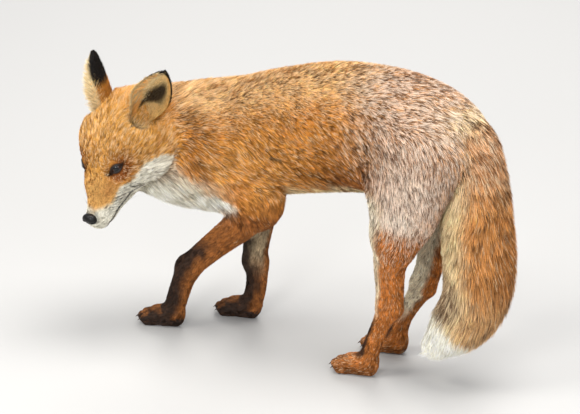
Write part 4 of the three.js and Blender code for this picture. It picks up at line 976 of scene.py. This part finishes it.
def atlas(labels, weights, box=(0.004, 0.004, 0.996, 0.996)):
    """A rectangle of the unwrap for each label, by how many tufts it has."""
    if len(labels) == 1:
        return {labels[0]: box}
    order = sorted(zip(weights, labels), reverse=True)
    a, b = [], []
    for w, l in order:
        (a if sum(x[0] for x in a) <= sum(x[0] for x in b) else b).append((w, l))
    wa, wb = sum(x[0] for x in a), sum(x[0] for x in b)
    f = min(0.9, max(0.1, wa / (wa + wb)))
    x0, y0, x1, y1 = box
    if x1 - x0 >= y1 - y0:
        m = x0 + (x1 - x0) * f
        ba, bb = (x0, y0, m - 0.002, y1), (m + 0.002, y0, x1, y1)
    else:
        m = y0 + (y1 - y0) * f
        ba, bb = (x0, y0, x1, m - 0.002), (x0, m + 0.002, x1, y1)
    out = atlas([l for _, l in a], [w for w, _ in a], ba)
    out.update(atlas([l for _, l in b], [w for w, _ in b], bb))
    return out


# how densely each group is covered, and the half width of its tufts
DENSITY = {"trunk": 0.78, "neck": 0.78, "head": 1.45, "muzzle": 3.0, "ruff": 1.15, "thigh": 0.78, "shank": 1.25, "hock": 1.5, "upper": 0.75, "forearm": 1.3, "pastern": 1.6, "paw": 1.9, "tail": 0.85}
WIDTH = {"trunk": 0.50, "neck": 0.54, "head": 0.36, "muzzle": 0.25, "ruff": 0.44, "thigh": 0.47, "shank": 0.40, "hock": 0.35, "upper": 0.50, "forearm": 0.38, "pastern": 0.35, "paw": 0.32, "tail": 0.56}
CLUMP = {"trunk": (3.4, 0.46), "neck": (5.0, 0.55), "head": (2.8, 0.34), "muzzle": (2.0, 0.15), "ruff": (6.0, 0.5), "thigh": (3.2, 0.46), "shank": (3.0, 0.30), "hock": (2.8, 0.22), "upper": (4.0, 0.45), "forearm": (3.0, 0.30), "pastern": (2.8, 0.22), "paw": (2.5, 0.18), "tail": (5.0, 0.5)}
by_group = lambda table, share: share @ np.array([table[g] for g in GROUPS], F4)

dens_v = by_group(DENSITY, share_v)
tri_w = AREA * dens_v[TRI].mean(1)
cen = V[TRI].mean(1)
hc = to_head(cen)
bad = cen[:, 2] < 2.2
for e in EYES:
    q = cen - e["c"]
    a, b, c = q @ e["u"], q @ e["v"], q @ e["n"]
    bad |= (c > 1.0) & (lid_gap(a, b) < 2.0) & (np.linalg.norm(q, axis=1) < 20)
kn = (hc - NOSE_AT) / NOSE_RADII
bad |= (kn ** 2).sum(1) < 1.12
bad |= (np.abs(hc[:, 2] - mouth_z(hc[:, 0])) < 0.7) & (hc[:, 0] > -2) & (np.abs(hc[:, 1]) < 30)
tri_w[bad] = 0
cum = np.cumsum(tri_w)
pick = np.searchsorted(cum, (np.arange(TOTAL) + RNG.random(TOTAL)) / TOTAL * cum[-1])
pick = np.minimum(pick, len(TRI) - 1)
r1, r2 = np.sqrt(RNG.random(TOTAL)), RNG.random(TOTAL)
bar = np.stack([1 - r1, r1 * (1 - r2), r1 * r2], 1)
R = (V[TRI[pick]] * bar[..., None]).sum(1)
N = rows_unit((NV[TRI[pick]] * bar[..., None]).sum(1))
order = np.argsort(RNG.random(TOTAL))
R, N = R[order], N[order]
_, depth, length, flow, share, who, arc, ang = survey(R, True)
C, pale, dark, white = markings(R, N, share, who, arc, ang)
h = to_head(R)
tell(f"{TOTAL} roots, density {TOTAL / AREA.sum():.2f} for each square millimetre of {AREA.sum():.0f}")

g = {k: share[:, i].astype(float) for k, i in G.items()}
hd = np.clip(g["head"] + g["muzzle"] + g["ruff"], 0, 1)
D = flow.astype(float)
D = rows_unit(D)
down = np.array([0, 0, -1.0])
side = 1 - np.abs(N[:, 2])
D += (g["trunk"] * 0.42 * side)[:, None] * down + (g["neck"] * 0.5 * side)[:, None] * down + (g["upper"] * 0.2)[:, None] * down
D += (g["thigh"] * 0.25)[:, None] * np.array([0.9, 0, 0])
D += (g["tail"] * 0.15)[:, None] * down
# the hair of the face runs back from the nose, out over the cheeks and round the eyes
face = -HF[None] * 1.0 + HL[None] * (0.35 * np.clip(h[:, 1] / 26, -1, 1))[:, None] - HU[None] * (0.55 * ramp(-h[:, 2], 16, 40))[:, None] + HU[None] * (0.25 * ramp(h[:, 2], -6, 14))[:, None]
near_eye = []
for e in EYES:
    q = R - e["c"]
    away = np.linalg.norm(q, axis=1)
    flat = q - (q @ e["n"])[:, None] * e["n"]
    face += (3.4 * np.exp(-(away / 17) ** 4) + 0.6 * np.exp(-(away / 24) ** 2))[:, None] * rows_unit(flat)
    near_eye.append(ramp(away, 11, 24))
D = D * (1 - hd)[:, None] + rows_unit(face) * hd[:, None] * 1.1
# swirl
sw = 0.30 * noise(R, 26, 11) + 0.18 * noise(R, 9, 12)
sw = sw * (1 - 0.5 * hd) + 0.16 * RNG.standard_normal(TOTAL)
D = D - N * (D * N).sum(1)[:, None]
D = rows_unit(D)
S = np.cross(N, D)
D = rows_unit(D * np.cos(sw)[:, None] + S * np.sin(sw)[:, None])

ln = length * (0.72 + 0.5 * RNG.random(TOTAL)) * (1 + 0.10 * noise(R, 14, 13))
ln = ln * (1 - 0.55 * hd * (1 - np.minimum(near_eye[0], near_eye[1])))
fringe = g["trunk"] * ramp(-N[:, 2], 0.3, 0.8)
ln = ln * (1 + 0.15 * fringe)
rise = 0.80 + 0.28 * RNG.random(TOTAL)
stray = RNG.random(TOTAL) < 0.04
rise[stray] = 1.06 + 0.16 * RNG.random(stray.sum())
M = R + D * (ln * 0.46)[:, None]
E = R + D * (ln * 0.96)[:, None] + down * (ln * 0.05 * (g["trunk"] + g["neck"] + g["tail"]))[:, None]


def to_height(X, target):
    """X moved along the form's normal to the distance target from it."""
    f, gr = gradient(body, X, 0.7)
    s = np.clip((f - target) / np.maximum((gr * gr).sum(1), 0.4), -16, 16)
    return X - gr * s[:, None], rows_unit(gr)


M, nm = to_height(M.astype(F4), (-depth * (1 - 0.66 * rise)).astype(F4))
# locks: the tips of a neighbourhood lean together
size = by_group({k: v[0] for k, v in CLUMP.items()}, share)
pull = by_group({k: v[1] for k, v in CLUMP.items()}, share)
warp = np.stack([noise(R, 15, s) for s in (21, 22, 23)], 1) * (size * 0.5)[:, None]
band = np.round(np.log2(size) * 2).astype(int)
cellsize = 2.0 ** (band / 2)
K = np.floor((R + warp) / cellsize[:, None]).astype(np.int64)
key = ((K[:, 0] * 4001 + K[:, 1]) * 4001 + K[:, 2]) * 17 + band
_, lock = np.unique(key, return_inverse=True)
lock = lock.ravel()
cnt = np.bincount(lock).astype(float)
mean = lambda X: np.stack([np.bincount(lock, X[:, k]) for k in range(3)], 1) / cnt[:, None]
Em = mean(E)[lock]
E = E + (Em - E) * (pull * (0.6 + 0.8 * RNG.random(TOTAL)))[:, None]
E, ne = to_height(E.astype(F4), (-depth * np.clip(1 - rise, -0.2, 1) - 0.1).astype(F4))
E[:, 2] = np.maximum(E[:, 2], 0.15)
M[:, 2] = np.maximum(M[:, 2], 0.4)
tell("tufts laid")

# colour of each tuft
nl = cnt.size
lr, lr2 = RNG.random(nl)[lock], RNG.random(nl)[lock]
r = RNG.random(TOTAL)
lie = np.abs(D[:, 0]) / np.maximum(np.abs(D[:, 0]) + np.abs(D[:, 2]), 0.2)
streaks = noise(R * [0.30, 1.0, 0.9], 3.4, 61) * lie + noise(R * [1.0, 0.9, 0.30], 3.4, 62) * (1 - lie)
light = (0.38 + 0.50 * lr + 0.74 * r) * (1 + 0.42 * streaks * (1 - 0.45 * hd)) * (1 + 0.10 * noise(R, 40, 31) + 0.10 * noise(R, 5, 32))
calm = np.clip(0.35 * hd + 0.30 * hd * ramp(h[:, 0], -10, 20), 0, 0.65)
light = light * (1 - calm) + calm
base = C * light[:, None]
is_pale = RNG.random(TOTAL) < pale * (0.40 + 1.6 * lr2 ** 2)
is_dark = (RNG.random(TOTAL) < dark * (0.5 + 1.5 * (1 - lr2) ** 2)) & ~is_pale
grizz = np.clip(ramp(R[:, 0], 70, 160) * (g["trunk"] + g["thigh"]), 0, 1)
pale_c = PALE * (1 - grizz)[:, None] + SILVER * grizz[:, None]
pale_c = pale_c * (1 - white)[:, None] + WHITE * white[:, None]
amt = 0.45 + 0.5 * RNG.random(TOTAL)
# each tuft is darker at the root and lighter at the tip: partly the hair's own dark undercoat, partly painted shade
# deep in the coat and painted light on the tips; short coats darken less at the root
top = base * 1.10
snow = (white * g["tail"])[:, None]
mid = base * (0.80 + 0.22 * snow)
root = base * (0.36 + 0.34 * snow)
top = top * (1 + 0.15 * snow)
top[is_pale] = top[is_pale] * (1 - amt[is_pale, None]) + pale_c[is_pale] * amt[is_pale, None]
mid[is_pale] = mid[is_pale] * (1 - 0.55 * amt[is_pale, None]) + pale_c[is_pale] * 0.55 * amt[is_pale, None]
dk = (BROWN * 0.8)[None] * (0.6 + 0.8 * RNG.random(TOTAL))[:, None]
amt = 0.55 + 0.4 * RNG.random(TOTAL)
top[is_dark] = top[is_dark] * (1 - amt[is_dark, None]) + dk[is_dark] * amt[is_dark, None]
mid[is_dark] = mid[is_dark] * (1 - amt[is_dark, None]) + dk[is_dark] * amt[is_dark, None]
short = np.clip(1 - depth / 5, 0, 1)[:, None]
root = root * (1 - short) + base * 0.8 * short
COL = np.clip(np.stack([root, mid, top], 1), 0.002, 0.95)
wd = by_group(WIDTH, share) * (0.75 + 0.5 * RNG.random(TOTAL))
wd = wd * np.where(is_pale | is_dark, 0.9, 1.0)
twist = 1.5 * (RNG.random(nl)[lock] - 0.5) + 0.9 * (RNG.random(TOTAL) - 0.5)

# pieces
left = R[:, 1] < 0
dom = share.argmax(1)
isin = lambda *n: np.isin(dom, [G[k] for k in n])
PIECES = {
    "coat_face": isin("muzzle") | (isin("head", "ruff") & (h[:, 0] > -30)),
    "coat_cheeks_and_crown": isin("head", "ruff") & (h[:, 0] <= -30),
    "coat_neck": isin("neck"),
    "coat_shoulders": (isin("trunk") & (R[:, 0] < -10)) | isin("upper"),
    "coat_back_and_belly": isin("trunk") & (R[:, 0] >= -10) & (R[:, 0] < 150),
    "coat_rump": isin("trunk") & (R[:, 0] >= 150),
    "coat_thighs": isin("thigh"),
    "coat_hind_legs": isin("shank", "hock", "paw") & (R[:, 0] > 60),
    "coat_fore_legs": isin("forearm", "pastern", "paw", "shank") & (R[:, 0] <= 60),
    "coat_tail": isin("tail"),
}
made_coat, total_tri = [], 0
done = np.zeros(TOTAL, bool)
for name, mask in PIECES.items():
    mask = mask & ~done
    done |= mask
    ids = np.flatnonzero(mask)
    k = int(np.ceil(len(ids) * len(BLADE) / 185000))
    halves = [(name, ids)]
    if k > 1:
        c = R[ids, 2] if name in ("coat_tail", "coat_neck") else R[ids, 1]
        order_ = ids[np.argsort(c, kind="stable")]
        halves = [(f"{name}_{q + 1}", part) for q, part in enumerate(np.array_split(order_, k))]
    for nm_, ids in halves:
        labels, counts = np.unique(who[ids], return_counts=True)
        rect = atlas(list(labels), list(counts))
        uv = np.zeros((len(ids), 2))
        for l in labels:
            j = who[ids] == l
            x0, y0, x1, y1 = rect[l]
            uv[j, 0] = x0 + 0.002 + (x1 - x0 - 0.004) * (ang[ids][j] / (2 * np.pi) + 0.5)
            uv[j, 1] = y0 + 0.002 + (y1 - y0 - 0.004) * arc[ids][j]
        uv = np.clip(uv, 0.0016, 0.9984)
        v, f, c, u = blades(R[ids] - N[ids] * 0.35, M[ids], E[ids], N[ids], wd[ids], COL[ids], uv, twist[ids])
        ob = new_mesh(nm_, metres(v), f, FUR, smooth=True, colours=c, uv=u)
        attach(ob, "root")
        made_coat.append(ob)
        total_tri += len(f)
        tell(f"{nm_}: {len(f)} triangles")
tell(f"left over {int((~done).sum())}, coat {total_tri} triangles")

# the ears' own hair
for e in EARS:
    name = "left" if e["side"] > 0 else "right"
    parts = []
    for inner, count in ((False, 8000), (True, 9000)):
        u = RNG.uniform(-0.98, 0.98, count)
        v = RNG.uniform(-0.26, 0.985, count)
        if inner:
            u = np.sign(u) * np.abs(u) ** 0.75
        eps = 0.02
        P = ear_point(e, u, v, inner)
        Pu, Pv = ear_point(e, u + eps, v, inner) - P, ear_point(e, u, v + eps, inner) - P
        n = rows_unit(np.cross(Pu, Pv)) * (1 if not inner else -1) * -e["side"]
        n = n * (1 if (((n @ e["O"]).mean() < 0) != inner) else -1)
        # up the ear; inside, from both edges towards the opening
        d = rows_unit(Pv) + rows_unit(Pu) * (0.25 * u)[:, None]
        ln_ = (7 + 5 * (1 - v)) * RNG.uniform(0.7, 1.2, count)
        dep = np.full(count, 0.8)
        if inner:
            front, rear = ramp(-u, 0.15, 0.8), ramp(u, 0.5, 0.95)
            d = rows_unit(Pv) * 0.9 + rows_unit(Pu) * (0.75 * front - 0.25 * rear)[:, None] + e["O"] * (0.18 * front + 0.10 * rear)[:, None]
            ln_ = (6 + 11 * front * ramp(-v, -0.85, -0.3) + 3 * ramp(-v, -0.3, 0.1)) * RNG.uniform(0.6, 1.2, count)
            dep = 0.8 + 2.4 * front * RNG.random(count)
        else:
            rim = ramp(-u, 0.66, 0.95) * ramp(-v, -0.9, -0.8)
            d = d - rows_unit(Pu) * (1.1 * rim)[:, None]
            ln_ = ln_ * (1 - 0.15 * ramp(u, 0.8, 0.97))
        # shorter towards the tip, so that no hair stands past it
        ln_ = np.minimum(ln_, 3.0 + EAR_H * np.clip(1.0 - v, 0, 1))
        d = rows_unit(d)
        d = rows_unit(d - n * (d * n).sum(1)[:, None] * (0.85 if inner else 1.0))
        d = rows_unit(d + 0.12 * RNG.standard_normal((count, 3)))
        Rr = P - n * 0.2
        Mr = P + d * (ln_ * 0.5)[:, None] + n * (dep * 0.8)[:, None]
        Er = P + d * ln_[:, None] + n * dep[:, None]
        # inside, each hair keeps the colour of its root, and long pale ones cross the dark
        u_from = u - (0.10 if inner else 0.0)
        C0 = ear_colour(u_from, v, inner, e["side"]) * (0.78 + 0.5 * RNG.random(count))[:, None]
        if inner:
            over = RNG.random(count) < 0.55 * ramp(-u, -0.02, 0.35) * ramp(v, -0.10, 0.10)
            C0[over] = rgb(236, 214, 168) * (0.7 + 0.4 * RNG.random(over.sum()))[:, None]
        # each hair is darker at the root and lighter at the tip: partly the hair's own darker base, partly painted
        # shade in the coat and painted light on the tips
        colours = np.stack([C0 * 0.7, C0 * 0.95, np.minimum(C0 * 1.1, 0.95)], 1)
        x0 = 0.01 if not inner else 0.51
        uv = np.stack([x0 + 0.24 + 0.235 * u, 0.02 + 0.95 * np.clip((v + 0.27) / 1.27, 0, 1)], 1)
        parts.append(blades(Rr, Mr, Er, n, np.full(count, 0.34) * RNG.uniform(0.7, 1.3, count), colours, uv))
    k = len(parts[0][0])
    v = np.vstack([p[0] for p in parts])
    f = np.vstack([parts[0][1], parts[1][1] + k])
    ob = new_mesh("coat_ear_" + name, metres(v), f, FUR, colours=np.vstack([p[2] for p in parts]), uv=np.vstack([p[3] for p in parts]))
    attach(ob, "root")
    made_coat.append(ob)
tell("ear hair")

# ---------------------------------------------------------------- eyes and lids
for e in EYES:
    name = "left" if e["side"] > 0 else "right"
    B, F = sphere(48, 32)
    B, F, _ = weld(B, F)
    if (np.cross(B[F[:, 1]] - B[F[:, 0]], B[F[:, 2]] - B[F[:, 0]]) * B[F[:, 0]]).sum() < 0:
        F = F[:, ::-1]
    ax = np.stack([e["n"], e["u"], e["v"]])
    off = np.hypot(B[:, 1], B[:, 2])
    bulge = 1 + 0.045 * np.exp(-(off / 0.55) ** 4) * (B[:, 0] > 0)
    P = e["c"] + (B * bulge[:, None] * EYE_RADIUS) @ ax
    u_, v_ = B[:, 1] * EYE_RADIUS, B[:, 2] * EYE_RADIUS
    rr = np.hypot(u_, v_)
    C0 = np.repeat(rgb(24, 15, 11)[None], len(B), 0)
    iris = ramp(-rr, -6.3, -5.6) * (B[:, 0] > 0)
    C0 = lay(C0, rgb(58, 30, 12), 0.9 * iris)
    pupil = ramp(-np.hypot(u_ / 3.5, v_ / 4.6), -1.10, -0.90) * (B[:, 0] > 0)
    C0 = lay(C0, rgb(6, 5, 5), pupil)
    C0 = lay(C0, rgb(16, 10, 8), ramp(rr, 5.6, 6.6))
    ob = new_mesh("eyeball_" + name, metres(P), F, EYE, colours=C0)
    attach(ob, "root")
    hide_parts("eye_" + name)
    # the rim of the lids, a soft black cord round the opening with the corners drawn out
    k = 64
    th = np.linspace(0, 2 * np.pi, k, endpoint=False)
    a = LID_HALF * np.cos(th)
    s = np.clip(1 - (a / LID_HALF) ** 2, 0, 1) ** 0.85
    b = np.where(np.sin(th) > 0, LID_UP * s, -LID_DOWN * s)
    rad = EYE_RADIUS + 0.55
    c = np.sqrt(np.maximum(rad ** 2 - a ** 2 - b ** 2, 1.0))
    path = e["c"] + a[:, None] * e["u"] + b[:, None] * e["v"] + c[:, None] * e["n"]
    T = rows_unit(np.roll(path, -1, 0) - np.roll(path, 1, 0))
    O = rows_unit(path - e["c"])
    S_ = np.cross(T, O)
    w_ = 1.15 + 0.35 * np.abs(np.cos(th)) ** 3
    m = 8
    an = np.arange(m) * 2 * np.pi / m
    ring = path[:, None] + w_[:, None, None] * (np.cos(an)[None, :, None] * S_[:, None] * 1.15 + np.sin(an)[None, :, None] * O[:, None] * 0.75)
    F = []
    for j in range(k):
        for i in range(m):
            p, q = j * m + i, j * m + (i + 1) % m
            r_, s_ = ((j + 1) % k) * m + (i + 1) % m, ((j + 1) % k) * m + i
            F += [(p, q, r_), (p, r_, s_)]
    ob = new_mesh("lid_rim_" + name, metres(ring.reshape(-1, 3)), np.array(F), LID, colours=np.repeat(rgb(24, 18, 16)[None], k * m, 0))
    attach(ob, "root")

# ---------------------------------------------------------------- nose
B, F = sphere(72, 48)
B, F, _ = weld(B, F)
if (np.cross(B[F[:, 1]] - B[F[:, 0]], B[F[:, 2]] - B[F[:, 0]]) * B[F[:, 0]]).sum() < 0:
    F = F[:, ::-1]
P = B * NOSE_RADII
x, y, z = P.T
# a flatter front, wings at the sides, nostrils with a slit that runs outwards, and a groove down the middle
x = x - 0.9 * ramp(B[:, 0], 0.7, 1.0)
for s in (1, -1):
    q = ((y - s * 5.0) / 2.3) ** 2 + ((z + 0.4) / 2.0) ** 2
    hole = np.exp(-q ** 1.5) * (B[:, 0] > 0)
    slit = np.exp(-(((y - s * 8.2) / 2.6) ** 2 + ((z + 1.6 + 0.25 * (np.abs(y) - 6)) / 0.9) ** 2)) * (B[:, 0] > -0.2)
    wing = np.exp(-(((y - s * 6.6) / 3.4) ** 2 + ((z - 2.6) / 2.4) ** 2)) * (B[:, 0] > 0)
    x = x - 4.0 * hole - 1.4 * slit + 0.5 * wing
    y = y - s * 1.2 * slit
x = x - 0.9 * np.exp(-(y / 0.7) ** 2) * ramp(-z, -1.5, 1.5) * (B[:, 0] > 0)
NP = head_point(np.stack([x, y, z], 1) + NOSE_AT)
cn = np.repeat(rgb(11, 9, 9)[None], len(NP), 0)
nose = new_mesh("nose_pad", metres(NP), F, LEATHER, colours=cn)
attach(nose, "root")
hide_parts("nose")

# ---------------------------------------------------------------- claws
for key, (_, _, heading, hind) in PAWS.items():
    limb = ("hind" if hind else "fore") + "_" + ("left" if key.endswith("l") else "right")
    Vs, Fs, Cs, k = [], [], [], 0
    for (_, y1, x1, _) in TOES:
        root_ = np.array(paw_point(key, x1 + 0.4, y1, 9.4))
        ahead = np.array(paw_point(key, 30, y1 * 1.15, 0)) - np.array(paw_point(key, 0, y1 * 0.95, 0))
        A = unit(ahead)
        t = np.linspace(0, 1, 9)
        path = root_ + A * (10.2 * t)[:, None] + np.array([0, 0, 1.0]) * (0.9 - 5.4 * t * t)[:, None]
        v, f = closed_tube(path, 1.9 * (1 - t ** 1.6) + 0.12, 10, 0.7)
        Vs.append(v)
        Fs.append(f + k)
        k += len(v)
        shade = np.concatenate([np.repeat(t, 10), [0, 1]])
        Cs.append(lay(np.repeat(rgb(38, 30, 25)[None], len(v), 0), rgb(96, 84, 70), 0.6 * shade))
    ob = new_mesh("claws_" + limb, metres(np.vstack(Vs)), np.vstack(Fs), HORN, colours=np.vstack(Cs))
    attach(ob, "root")
    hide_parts(*[f"claw_{limb}_{i + 1}" for i in range(4)])

# ---------------------------------------------------------------- whiskers
Vs, Fs, k = [], [], 0
for s in (1, -1):
    for row, zz in enumerate((-21.5, -26, -30.5)):
        for j in range(5):
            x0 = 50 - 6.0 * j + 1.5 * row
            start = head_point([x0, s * 30, zz + 0.3 * j])
            # down to the skin from the side
            p = start.copy()
            for _ in range(24):
                f0, g0 = gradient(skin_field, p[None])
                p = p - g0[0] * f0[0] / max(float((g0 * g0).sum()), 0.3) * 0.8
            lnw = (20 + 8.5 * j - 2 * row) * RNG.uniform(0.85, 1.1)
            d0 = unit(head_dir([-0.35 - 0.12 * j, s * (1.0), -0.10 - 0.1 * row]))
            bend = head_dir([-0.6, 0.0, -0.35])
            t = np.linspace(0, 1, 9)
            path = p - d0 * 0.6 + d0 * (lnw * t)[:, None] + bend * (lnw * 0.35 * t ** 2)[:, None]
            v, f = closed_tube(path, 0.20 * (1 - 0.85 * t), 4)
            Vs.append(v)
            Fs.append(f + k)
            k += len(v)
wh = new_mesh("whiskers", metres(np.vstack(Vs)), np.vstack(Fs), WHISKER)
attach(wh, "root")
tell("eyes, nose, claws, whiskers")

# ---------------------------------------------------------------- what stands for what
FLESH = [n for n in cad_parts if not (n.startswith("claw") or n.startswith("eye") or n.startswith("ear") or n == "nose")]
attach(skin, "root")
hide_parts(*FLESH)

# ---------------------------------------------------------------- floor, light, camera
def plain(name, colour, roughness):
    m = bpy.data.materials.new(name)
    m.use_nodes = True
    b = m.node_tree.nodes["Principled BSDF"]
    b.inputs["Base Color"].default_value = (*colour, 1)
    b.inputs["Roughness"].default_value = roughness
    return m


bpy.ops.mesh.primitive_plane_add(size=60, location=(0, 0, 0))
floor = bpy.context.object
floor.name = "floor"
floor.data.materials.append(plain("floor", (0.46, 0.455, 0.445), 0.9))
floor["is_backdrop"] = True


def area(name, loc, target, size, power, colour=(1, 1, 1)):
    d = bpy.data.lights.new(name, "AREA")
    d.shape, d.size, d.energy, d.color = "DISK", size, power, colour
    o = bpy.data.objects.new(name, d)
    bpy.context.scene.collection.objects.link(o)
    o.location = loc
    o.rotation_euler = (Vector(target) - Vector(loc)).to_track_quat("-Z", "Y").to_euler()
    return o


area("key", (-1.1, -1.7, 2.6), (0, 0, 0.22), 1.3, 38, (1.0, 0.975, 0.93))
area("top", (0.5, 0.2, 2.9), (0, 0, 0.2), 2.0, 88, (1.0, 0.99, 0.97))
area("side", (2.6, -1.6, 1.6), (0, 0, 0.2), 1.8, 22, (0.95, 0.975, 1.0))
area("catch", (0.26, -1.52, 0.78), (-0.21, -0.09, 0.25), 0.50, 13, (1.0, 0.99, 0.97))
area("rim", (-1.2, 2.2, 1.9), (0, 0, 0.25), 1.4, 34, (1.0, 0.98, 0.95))
world = bpy.data.worlds.new("studio")
bpy.context.scene.world = world
world.use_nodes = True
world.node_tree.nodes["Background"].inputs[0].default_value = (0.93, 0.95, 1.0, 1)
world.node_tree.nodes["Background"].inputs[1].default_value = 0.55
bpy.context.scene.view_settings.view_transform = "Standard"
bpy.context.scene.view_settings.look = "None"

AZ, EL, DIST, TARGET = 32.0, 21.0, 4500.0, np.array([0, 0, 186.0])
ca, ce = math.radians(AZ), math.radians(EL)
backw = np.array([math.sin(ca) * math.cos(ce), -math.cos(ca) * math.cos(ce), math.sin(ce)])
cd = bpy.data.cameras.new("camera")
cd.sensor_width, cd.lens = 36.0, 3488.4 / 580 * 36.0
cd.clip_start, cd.clip_end = 0.1, 100
cam = bpy.data.objects.new("camera", cd)
bpy.context.scene.collection.objects.link(cam)
cam.location = metres(TARGET + backw * DIST)
cam.rotation_euler = (math.radians(90 - EL), 0, ca)
bpy.context.scene.camera = cam

now = [list(map(float, c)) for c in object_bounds()]
tell(f"cad {CAD_BOX} now {now}")
